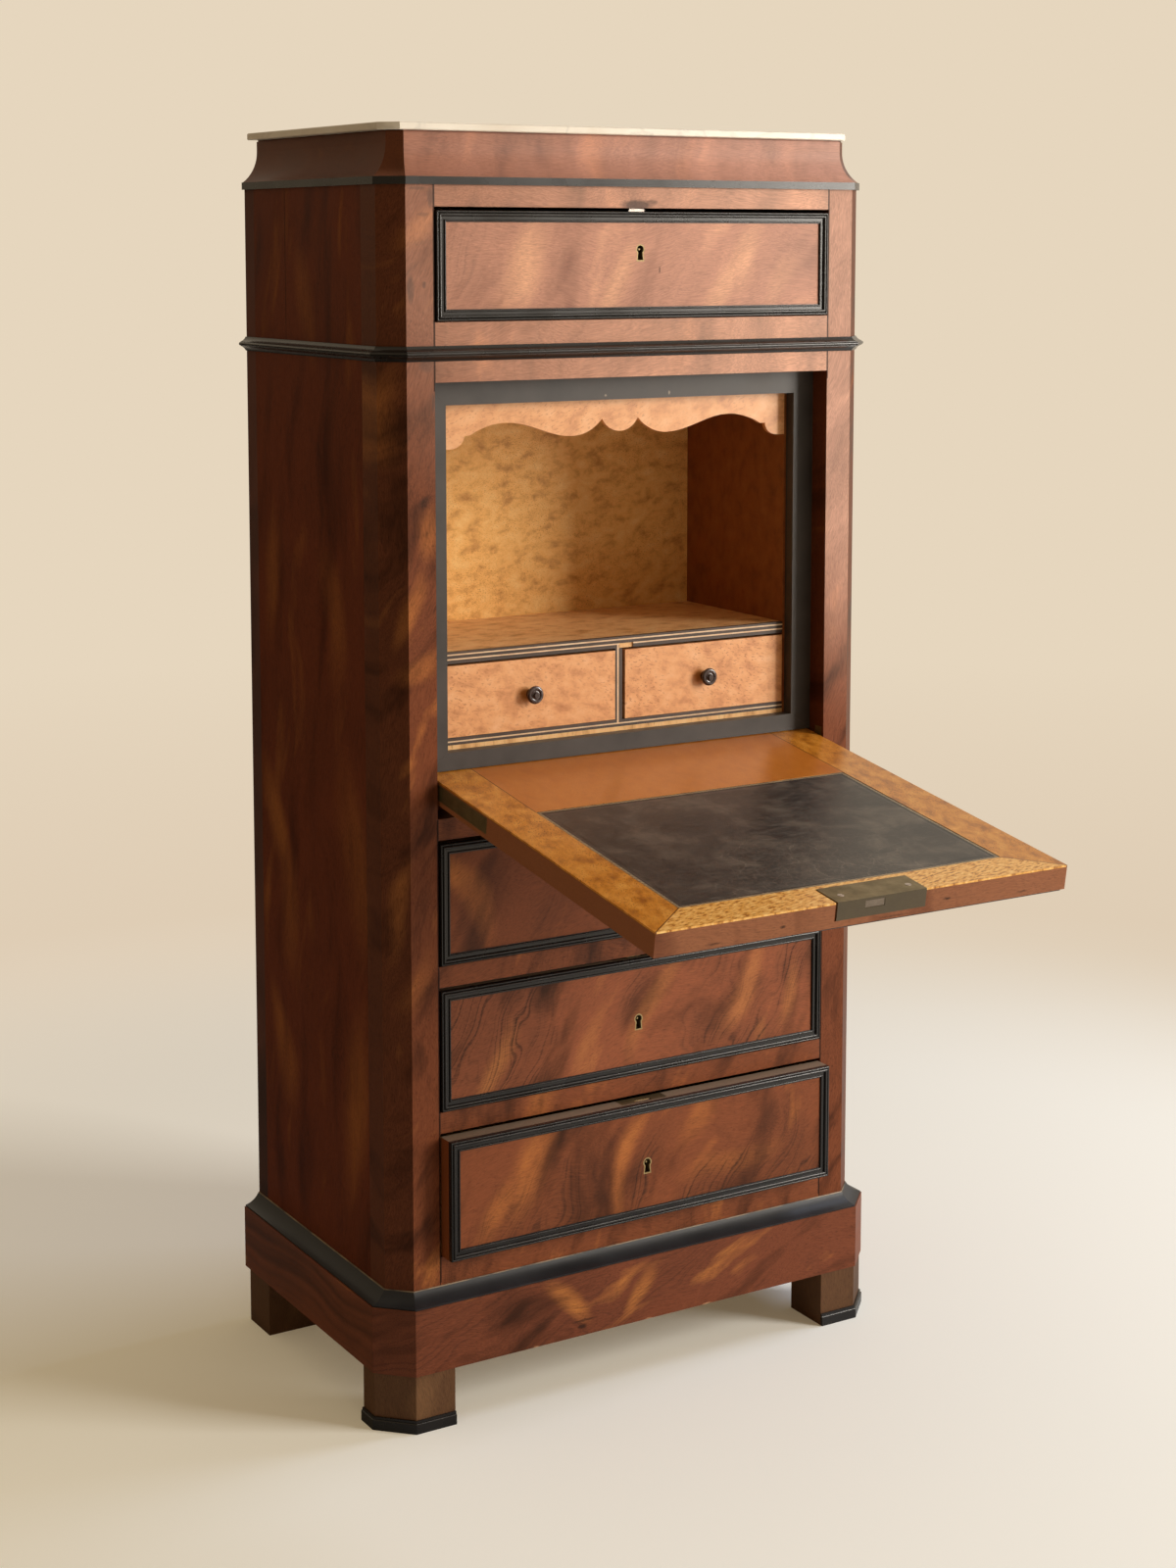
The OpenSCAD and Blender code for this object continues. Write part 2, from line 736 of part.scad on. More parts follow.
// Mitred frame that the fall shuts against; the open fall's tail bears up under its lower member
module stop_frame() {
    x = open_w / 2;
    u = stop_w / 2;
    outer = [[-x, z_stop], [x, z_stop], [x, z_head], [-x, z_head]];
    inner = [[-u, z_floor_edge], [u, z_floor_edge], [u, z_stop_top], [-u, z_stop_top]];
    color(ebonised) placed() for (i = [0:3]) {
        j = (i + 1) % 4;
        g = (inner[j] - inner[i]) / norm(inner[j] - inner[i]) * glue_gap;
        forwards(stop_y, inner_y) polygon([outer[i] + g, outer[j] - g, inner[j] - g, inner[i] + g]);
    }
}

module interior_sides() {
    x = lining_w / 2;
    color(birch) placed() both_sides()
        box([x, x + lining_t], [inner_y, interior_y + thin_t], [z_sill, z_head]);
}

module interior_back() {
    x = lining_w / 2;
    color(birch) placed()
        box([-x, x], [interior_y, interior_y + thin_t], [z_floor_edge, z_ceiling + lining_t]);
}

module interior_boards() {
    x = lining_w / 2;
    color(birch) placed() {
        box([-x, x], [inner_y, interior_y], [z_ceiling, z_ceiling + lining_t]);
        box([-x, x], [inner_y + thin_t, interior_y], [z_floor_edge + glue_gap, z_floor]);
        box([-x, x], [inner_y, inner_y + 20], [z_sill, z_floor_edge]);
        layer(z_floor_edge, floor_layers, 0);
    }
}

// Levels of the dark and light strips in the shelf's front edge, then in the floor's
shelf_layers = [0, shelf_low, shelf_low + string_h, shelf_t - shelf_high - string_h,
    shelf_t - shelf_high, shelf_t];
floor_layers = [0, floor_birch, floor_edge_h - floor_top - string_h, floor_edge_h - floor_top,
    floor_edge_h];

// The board between the small drawers, and the light line up its front edge
divider_x = [divider_at - divider_t / 2, divider_at + divider_t / 2];
line_x = [divider_x[0] + divider_dark, divider_x[0] + divider_dark + divider_light];
line_z = [z_floor_edge + floor_layers[3] + glue_gap / 2, z_shelf + shelf_layers[1] - glue_gap / 2];

// Where the shelf's lowest dark strip and light line have broken away
module chip(y, grow) {
    box([chip_at - grow, chip_at + chip_w + grow], y, [z_shelf, z_shelf + shelf_layers[2]]);
}

module shelf() {
    x = lining_w / 2;
    color(birch) placed() {
        box([-x, x], [inner_y + thin_t, interior_y], [z_shelf, z_shelf + shelf_t]);
        chip([inner_y + chip_in, inner_y + thin_t + 1], 0);
        box(divider_x, [inner_y + thin_t, interior_y], [z_floor, z_shelf - glue_gap]);
    }
}

module layer(z, levels, i) {
    x = lining_w / 2;
    g = glue_gap / 2;
    box([-x, x], [inner_y, inner_y + thin_t], [z + levels[i] + g, z + levels[i + 1] - g]);
}

module divider_line(grow) {
    box([line_x[0] - grow, line_x[1] + grow], [inner_y - grow, inner_y + thin_t + grow], line_z);
}

module dark_stringing() {
    y = [inner_y, inner_y + thin_t];
    z = [z_floor + glue_gap, z_shelf - glue_gap];
    color(ebonised) placed() {
        difference() {
            union() {
                for (i = [0, 2, 4]) layer(z_shelf, shelf_layers, i);
                for (i = [1, 3]) layer(z_floor_edge, floor_layers, i);
            }
            divider_line(glue_gap);
            chip([inner_y - 1, inner_y + thin_t + 1], glue_gap);
        }
        box([divider_x[0], line_x[0] - glue_gap], y, z);
        box([line_x[1] + glue_gap, divider_x[1]], y, z);
    }
}

module light_stringing() {
    color(boxwood) placed() {
        difference() {
            union() {
                for (i = [1, 3]) layer(z_shelf, shelf_layers, i);
                layer(z_floor_edge, floor_layers, 2);
            }
            chip([inner_y - 1, inner_y + thin_t + 1], glue_gap);
        }
        divider_line(0);
    }
}

// Right half of the valance's lower edge, as drops below the stop frame's top member, from the
// middle lobe over a cusp, a side lobe, an arch and a step to the end lobe at the side board
function valance_edge() = let (
    end = lining_w / 2,
    step_x = end - step_in,
    tail_x = step_x + step_w,
    lobe_r = (pow(cusp_x, 2) + pow(lobe_drop - cusp_drop, 2)) / (2 * (lobe_drop - cusp_drop)),
    side_h = dip_drop - cusp_drop,
    side_r = (pow(dip_x - cusp_x, 2) + side_h * side_h) / (2 * side_h),
    rise = step_drop - arch_drop,
    arch_r = (pow(step_x - arch_x, 2) + rise * rise) / (2 * rise),
    f = [for (i = [1:arc_steps]) i / arc_steps])
    concat(
        [[0, lobe_drop]],
        [for (s = f) [s * cusp_x, lobe_drop - lobe_r + sqrt(pow(lobe_r, 2) - pow(s * cusp_x, 2))]],
        [for (s = f) let (x = (1 - s) * (dip_x - cusp_x))
            [dip_x - x, dip_drop - side_r + sqrt(side_r * side_r - x * x)]],
        [for (s = f) [dip_x + s * (arch_x - dip_x),
            arch_drop + (dip_drop - arch_drop) * (1 + cos(180 * s)) / 2]],
        [for (s = f) let (x = s * (step_x - arch_x))
            [arch_x + x, arch_drop + arch_r - sqrt(arch_r * arch_r - x * x)]],
        [[tail_x, step_drop]],
        [for (s = f) [tail_x + (end - 10 - tail_x) * (1 - cos(90 * s)),
            step_drop + (tail_drop - step_drop) * sin(90 * s)]],
        [[end, tail_drop]]);

module valance() {
    edge = valance_edge();
    n = len(edge);
    right = [for (p = edge) [p.x, z_stop_top - p.y]];
    left = [for (i = [n - 1:-1:1]) [-right[i].x, right[i].y]];
    end = lining_w / 2;
    color(birch) placed() forwards(inner_y, inner_y + thin_t)
        polygon(concat([[end, z_ceiling], [-end, z_ceiling]], left, right));
}

/* Fall: drawn shut, then swung open on its pivots */

module opened() {
    placed() translate([0, pivot_y, z_pivot]) rotate([fall_angle, 0, 0])
        translate([0, -pivot_y, -z_pivot]) children();
}

panel_t = fall_t - banding_t;
leather_z = [z_fall + band_rear, z_fall_top - band_front];
leather_x = fall_w / 2 - band_side;

module lock_plate_space(grow, slack) {
    x = [plate_x - plate_w / 2 - slack, plate_x + plate_w / 2];
    box(x, [fall_t - plate_t, fall_t + grow], [z_fall_top - plate_d, z_fall_top + grow]);
    box(x, [fall_t - plate_edge, fall_t + grow], [z_fall_top - plate_t, z_fall_top + grow]);
}

// The lock's case reaches the plate, and past the plate it stays under the banding
module lock_case_space() {
    x = [plate_x - fall_lock_w / 2, plate_x + fall_lock_w / 2];
    y = [fall_t - plate_t - fall_lock_t, fall_t - plate_t];
    z = z_fall_top - plate_t / 2;
    box(x, y, [z_fall_top - plate_d, z]);
    box(x, [y[0], min(y[1], panel_t)], [z_fall_top - fall_lock_l, z]);
}

module pivot_plate_space(grow) {
    translate([fall_w / 2 - pivot_plate_t, pivot_y - pivot_plate_fore, z_pivot - pivot_plate_tail])
        cube([pivot_plate_t + grow, pivot_plate_w, pivot_plate_l]);
}

module fall_panel() {
    color(mahogany) opened() difference() {
        translate([-fall_w / 2, 0, 0]) rotate([90, 0, 90]) linear_extrude(fall_w) union() {
            translate([fall_round, z_fall]) square([panel_t - fall_round, fall_l]);
            translate([0, z_fall + fall_round]) square([panel_t, fall_l - fall_round]);
            translate([fall_round, z_fall + fall_round]) circle(fall_round);
        }
        lock_plate_space(1, plate_slack);
        lock_case_space();
        translate([0, 0, z_fall_top - fall_key]) forwards(-1, fall_t - plate_t - fall_lock_t + 0.1)
            keyhole(liner_t);
        both_sides() pivot_plate_space(1);
    }
}

module fall_banding() {
    x = fall_w / 2;
    z = [z_fall, leather_z[0], leather_z[1], z_fall_top];
    g = glue_gap;
    u = leather_x;
    shapes = [
        [[g - u, z[0]], [u - g, z[0]], [u - g, z[1]], [g - u, z[1]]],
        [[x, z[0]], [x, z[3] - g], [u, z[2] - g], [u, z[0]]],
        [[-x, z[0]], [-x, z[3] - g], [-u, z[2] - g], [-u, z[0]]],
        [[x - g, z[3]], [g - x, z[3]], [g - u, z[2]], [u - g, z[2]]]];
    color(birch) opened() difference() {
        for (s = shapes) forwards(panel_t, fall_t) polygon(s);
        lock_plate_space(1, plate_slack);
        both_sides() pivot_plate_space(1);
    }
}

module writing_leather() {
    color(leather) opened() box([-leather_x, leather_x], [panel_t, panel_t + leather_t], leather_z);
}

module fall_moulding() {
    w = fall_w - 2 * fall_band_set;
    z = z_pivot + lost_from;
    color(ebonised) opened() difference() {
        translate([0, 0, z_fall + fall_l / 2])
            mitred_frame(w, fall_l - 2 * fall_band_set, band_w) bead_profile(0);
        box([-w / 2 - 1, band_w - w / 2 + 1], [-reach, 1], [z, z + lost_l]);
    }
}

module fall_lock() {
    bolt_in = fall_t - fall_bolt_in - fall_bolt_t;
    color(brass) opened() {
        difference() {
            union() {
                lock_plate_space(0, 0);
                lock_case_space();
            }
            box([fall_bolt_x - fall_bolt_w / 2 - bolt_gap, fall_bolt_x + fall_bolt_w / 2 + bolt_gap],
                [bolt_in - bolt_gap, bolt_in + fall_bolt_t + bolt_gap],
                [z_fall_top - fall_bolt_l - 3, z_fall_top + 1]);
            translate([0, 0, z_fall_top - fall_key])
                forwards(fall_t - plate_t - fall_lock_t - 1, fall_t - plate_t - 1) keyhole(0);
            for (s = [-1, 1]) translate([plate_x + s * (plate_w / 2 - 14), fall_t, z_fall_top - 14])
                rotate([90, 0, 0]) translate([0, 0, -1]) cylinder(r = 3.4, h = 1 + plate_t / 2);
        }
        for (s = [-1, 1]) translate([plate_x + s * (plate_w / 2 - 14), fall_t, z_fall_top - 14])
            difference() {
                rotate([90, 0, 0]) translate([0, 0, 0.1]) cylinder(r = 3.3, h = plate_t / 2 - 0.1);
                rotate([0, 30 * s, 0]) translate([-4, -0.7, -0.4]) cube([8, 1, 0.8]);
            }
        translate([0, 0, z_fall_top - fall_key]) forwards(0, fall_t - plate_t - fall_lock_t)
            difference() {
                keyhole(liner_t);
                keyhole(0);
            }
        translate([0, 4, z_fall_top - fall_key]) rotate([-90, 0, 0])
            cylinder(r = key_pin_r, h = fall_t - plate_t - 4);
    }
}

module fall_bolt() {
    y = fall_t - fall_bolt_in - fall_bolt_t;
    z = z_fall_top - 0.4;
    color(steel) opened()
        box([fall_bolt_x - fall_bolt_w / 2, fall_bolt_x + fall_bolt_w / 2], [y, y + fall_bolt_t],
            [z - fall_bolt_l, z]);
}

module fall_pivots() {
    color(brass) opened() both_sides() {
        pivot_plate_space(0);
        translate([fall_w / 2 - 1, pivot_y, z_pivot]) rotate([0, 90, 0])
            cylinder(r = pin_r, h = 1 + fall_gap_side + pin_in);
    }
}

/* Long drawers, each with its lower edge at z and its front h high */

module drawer_front(z, h, key) {
    x = drawer_w / 2;
    color(mahogany) placed() difference() {
        union() {
            box([-x, x], [band_in, front_t], [z, z + h]);
            box([band_w - x, x - band_w], [0, front_t], [z + band_w, z + h - band_w]);
        }
        translate([0, 0, z + h - key]) forwards(-1, lock_y + 0.1) keyhole(liner_t);
        box([-lock_w / 2, lock_w / 2], [lock_y, front_t + 1], [z + h - key - lock_below, z + h + 1]);
    }
}

lock_below = 19;

module drawer_moulding(z, h) {
    color(ebonised) placed() translate([0, 0, z + h / 2])
        mitred_frame(drawer_w, h, band_w) bead_profile(band_in);
}

module drawer_box(z, h) {
    x = box_w / 2;
    under = z - drawer_gap_bottom + slide_gap;
    top = z + h - drawer_side_drop;
    t = drawer_side_t;
    u = x - t - glue_gap;
    color(pine) placed() {
        both_sides() box([x - t, x], [front_t, drawer_d], [under, top]);
        box([-u, u], [drawer_d - t, drawer_d], [under + drawer_bottom_t, top - drawer_bottom_t]);
        box([-u, u], [front_t, drawer_d - t - glue_gap],
            [under + drawer_bottom_t, under + 2 * drawer_bottom_t]);
    }
}

module drawer_lock(z, h, key) {
    top = z + h;
    color(brass) placed() {
        difference() {
            box([-lock_w / 2, lock_w / 2], [lock_y, front_t], [top - key - lock_below, top]);
            box([-bolt_w / 2 - bolt_gap, bolt_w / 2 + bolt_gap],
                [bolt_y - bolt_gap, bolt_y + bolt_t + bolt_gap], [top - bolt_len - 4, top + 1]);
            translate([0, 0, top - key]) forwards(lock_y - 1, front_t - 3) keyhole(0);
        }
        translate([0, 0, top - key]) {
            forwards(0, lock_y) difference() {
                keyhole(liner_t);
                keyhole(0);
            }
            translate([0, 2.5, 0]) rotate([-90, 0, 0]) cylinder(r = key_pin_r, h = front_t - 4.5);
        }
    }
}

module drawer_bolt(z, h, up) {
    r = 1.6;
    w = bolt_w / 2;
    color(steel) placed() translate([0, 0, z + h + up]) forwards(bolt_y, bolt_y + bolt_t) union() {
        translate([-w, -bolt_len]) square([bolt_w, bolt_len - r]);
        translate([r - w, -r]) square([bolt_w - 2 * r, r]);
        for (s = [-1, 1]) translate([s * (w - r), -r]) circle(r, $fn = 24);
    }
}

module ajar() translate([0, -drawer_ajar, 0]) children();

module frieze_drawer_front() drawer_front(z_frieze, frieze_h, frieze_key);
module frieze_drawer_moulding() drawer_moulding(z_frieze, frieze_h);
module frieze_drawer_box() drawer_box(z_frieze, frieze_h);
module frieze_drawer_lock() drawer_lock(z_frieze, frieze_h, frieze_key);
module frieze_drawer_bolt() drawer_bolt(z_frieze, frieze_h, bolt_up);

module upper_drawer_front() drawer_front(z_upper, drawer_h, drawer_key);
module upper_drawer_moulding() drawer_moulding(z_upper, drawer_h);
module upper_drawer_box() drawer_box(z_upper, drawer_h);
module upper_drawer_lock() drawer_lock(z_upper, drawer_h, drawer_key);
module upper_drawer_bolt() drawer_bolt(z_upper, drawer_h, -0.5);

module middle_drawer_front() drawer_front(z_middle, drawer_h, drawer_key);
module middle_drawer_moulding() drawer_moulding(z_middle, drawer_h);
module middle_drawer_box() drawer_box(z_middle, drawer_h);
module middle_drawer_lock() drawer_lock(z_middle, drawer_h, drawer_key);
module middle_drawer_bolt() drawer_bolt(z_middle, drawer_h, -0.5);

module lower_drawer_front() ajar() drawer_front(z_lower, drawer_h, drawer_key);
module lower_drawer_moulding() ajar() drawer_moulding(z_lower, drawer_h);
module lower_drawer_box() ajar() drawer_box(z_lower, drawer_h);
module lower_drawer_lock() ajar() drawer_lock(z_lower, drawer_h, drawer_key);
module lower_drawer_bolt() ajar() drawer_bolt(z_lower, drawer_h, -0.5);

/* Small drawers inside, each with its sides at x[0] and x[1] */

left_x = [small_gap - lining_w / 2, divider_x[0] - small_gap];
right_x = [divider_x[1] + small_gap + small_play, lining_w / 2 - small_gap];

module small_front(x) {
    color(birch) placed()
        box(x, [inner_y, inner_y + small_front_t], [z_small, z_small + small_h]);
}

module small_box(x) {
    y = [inner_y + small_front_t, inner_y + small_d];
    under = z_floor + slide_gap;
    top = z_small + small_h - 5;
    t = thin_t;
    e = [x[0] + 0.3, x[1] - 0.3];
    u = [e[0] + t + glue_gap, e[1] - t - glue_gap];
    color(pine) placed() {
        box([e[0], e[0] + t], y, [under, top]);
        box([e[1] - t, e[1]], y, [under, top]);
        box(u, [y[1] - t, y[1]], [under, top]);
        box(u, [y[0], y[1] - t - glue_gap], [under, under + 4]);
    }
}

// Turned knob: a collar on the drawer, a neck, and a dished face with a button in its middle
module small_knob(x) {
    r = knob_r;
    l = knob_l;
    color(ebonised) placed() translate([(x[0] + x[1]) / 2, inner_y, z_small + small_h / 2])
        rotate([90, 0, 0]) rotate_extrude() difference() {
            union() {
                square([r * 0.68, l * 0.16]);
                square([r * 0.44, l * 0.6]);
                translate([0, l * 0.5]) square([r * 0.84, l * 0.36]);
                translate([r * 0.84, l * 0.68]) circle(l * 0.18, $fn = 24);
                square([r * 0.3, l]);
            }
            translate([r * 0.52, l * 0.92]) circle(l * 0.14, $fn = 24);
            translate([-r, -1]) square([r, l + 2]);
        }
}

module left_small_front() small_front(left_x);
module left_small_box() small_box(left_x);
module left_small_knob() small_knob(left_x);
module right_small_front() small_front(right_x);
module right_small_box() small_box(right_x);
module right_small_knob() small_knob(right_x);

marble_top();
cornice();
cornice_fillet();
case_top();
mid_moulding();
corner_posts();
side_panels();
back_frame();
back_boards();
front_rails();
dust_boards();
drawer_runners();
stop_frame();
interior_sides();
interior_back();
interior_boards();
shelf();
valance();
dark_stringing();
light_stringing();
base_moulding();
plinth();
front_feet();
back_feet();
toe_moulding();
pivot_sockets();
fall_panel();
fall_banding();
writing_leather();
fall_moulding();
fall_lock();
fall_bolt();
fall_pivots();
frieze_drawer_front();
frieze_drawer_moulding();
frieze_drawer_box();
frieze_drawer_lock();
frieze_drawer_bolt();
upper_drawer_front();
upper_drawer_moulding();
upper_drawer_box();
upper_drawer_lock();
upper_drawer_bolt();
middle_drawer_front();
middle_drawer_moulding();
middle_drawer_box();
middle_drawer_lock();
middle_drawer_bolt();
lower_drawer_front();
lower_drawer_moulding();
lower_drawer_box();
lower_drawer_lock();
lower_drawer_bolt();
left_small_front();
left_small_box();
left_small_knob();
right_small_front();
right_small_box();
right_small_knob();
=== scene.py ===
import math

import bpy
from mathutils import Matrix, Vector


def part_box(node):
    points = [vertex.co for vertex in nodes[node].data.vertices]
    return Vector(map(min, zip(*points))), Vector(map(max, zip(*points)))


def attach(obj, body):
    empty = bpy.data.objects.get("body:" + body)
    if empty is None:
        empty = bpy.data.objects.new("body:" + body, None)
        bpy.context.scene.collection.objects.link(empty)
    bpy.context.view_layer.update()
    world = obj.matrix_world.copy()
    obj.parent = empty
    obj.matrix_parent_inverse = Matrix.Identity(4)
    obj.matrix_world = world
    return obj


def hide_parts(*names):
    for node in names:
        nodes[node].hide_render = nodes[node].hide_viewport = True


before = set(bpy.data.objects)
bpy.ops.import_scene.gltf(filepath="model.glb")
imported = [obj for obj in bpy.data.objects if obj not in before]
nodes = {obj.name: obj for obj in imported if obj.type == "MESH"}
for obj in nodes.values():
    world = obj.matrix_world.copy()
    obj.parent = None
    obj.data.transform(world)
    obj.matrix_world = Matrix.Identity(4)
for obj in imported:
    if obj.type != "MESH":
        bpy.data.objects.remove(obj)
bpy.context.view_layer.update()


# The veneered case
# Posts, side panels and rails are softwood faced with sawn mahogany veneer, the grain upright on
# the posts and sides and level on the rails.  The veneer is crotch and curl figured: broad orange
# flames, wandering dark veins, fine open pores, and an old shellac polish gone a little dull.

def linear(code):
    """An sRGB hex colour as the linear RGBA that the shaders take."""
    parts = [int(code[i:i + 2], 16) / 255 for i in (1, 3, 5)]
    return [p / 12.92 if p <= 0.04045 else ((p + 0.055) / 1.055) ** 2.4 for p in parts] + [1.0]


def feed(node, inputs):
    """Gives a node its values and links.  A node given as an input stands for its first output
    in use; From and To are the two ends of a range."""
    for name, value in inputs.items():
        if name in ("From", "To"):
            feed(node, {name + " Min": value[0], name + " Max": value[1]})
        elif isinstance(value, bpy.types.Node):
            first = next(output for output in value.outputs if output.enabled)
            node.id_data.links.new(first, node.inputs[name])
        elif isinstance(value, bpy.types.NodeSocket):
            node.id_data.links.new(value, node.inputs[name])
        else:
            node.inputs[name].default_value = value


def add_node(tree, kind, inputs=None, stops=None, **settings):
    """Adds one shader node with its settings, its colour stops, and its values or links."""
    node = tree.nodes.new("ShaderNode" + kind)
    for name, value in settings.items():
        setattr(node, name, value)
    feed(node, inputs or {})
    if stops:
        ramp = node.color_ramp.elements
        while len(ramp) < len(stops):
            ramp.new(1.0)
        for element, (place, code) in zip(ramp, stops):
            element.position = place
            element.color = linear(code)
    return node


def new_material(name):
    """A new material, its node tree and its shader."""
    material = bpy.data.materials.new(name)
    material.use_nodes = True
    return material, material.node_tree, material.node_tree.nodes["Principled BSDF"]


def on_face(face, along, up, lean, length, width, through=10000):
    """Mapping values for a mark on a face: its middle (mm), its lean (degrees), its size and
    how far it goes through the wood (mm)."""
    a, b, turn = along / 1000, up / 1000, math.radians(lean)
    l, w, t = length / 1000, width / 1000, through / 1000
    if face == "front":
        return {"Location": (a, 0, b), "Rotation": (0, -turn, 0), "Scale": (l, t, w)}
    if face == "side":
        return {"Location": (0, a, b), "Rotation": (turn, 0, 0), "Scale": (t, l, w)}
    return {"Location": (a, b, 0), "Rotation": (0, 0, turn), "Scale": (l, w, t)}


def dress(names, material):
    """Gives CAD nodes one finish."""
    for name in names:
        mesh = nodes[name].data
        mesh.materials.clear()
        mesh.materials.append(material)


def marked(material, tone, marks):
    """Stains, chips and nicks of one tone on a finish, and painted shadows drawn the same way.  A
    mark is its middle (x, y, z), its half sizes the same way, in mm, and its strength; its outline
    is torn by tear (mm), and it fades from core to rim, as shares of its half size."""
    tree = material.node_tree
    shader = tree.nodes["Principled BSDF"]
    tear, core, rim = 3.0, 0.6, 1.15
    place = add_node(tree, "TexCoord").outputs["Object"]
    torn = add_node(tree, "TexNoise", {"Vector": place, "Scale": 250.0, "Detail": 2.0})
    near = add_node(tree, "VectorMath", {0: torn.outputs["Color"], 1: [tear / 1000] * 3, 2: place},
        operation="MULTIPLY_ADD")
    cover = None
    for x, y, z, wide, deep, high, strength in marks:
        oval = add_node(tree, "Mapping", {"Vector": near,
            "Location": [(v + tear / 2) / 1000 for v in (x, y, z)],
            "Scale": [v / 1000 for v in (wide, deep, high)]}, vector_type="TEXTURE")
        far = add_node(tree, "VectorMath", {0: oval}, operation="LENGTH")
        fade = add_node(tree, "MapRange", {"Value": far, "From": (core, rim),
            "To": (strength, 0.0)})
        cover = fade if cover is None else add_node(tree, "Math", {0: cover, 1: fade},
            operation="MAXIMUM")
    clean = shader.inputs["Base Color"].links[0].from_socket
    stained = add_node(tree, "Mix", {0: cover, 6: clean, 7: linear(tone)}, data_type="RGBA")
    feed(shader, {"Base Color": stained})
    return material


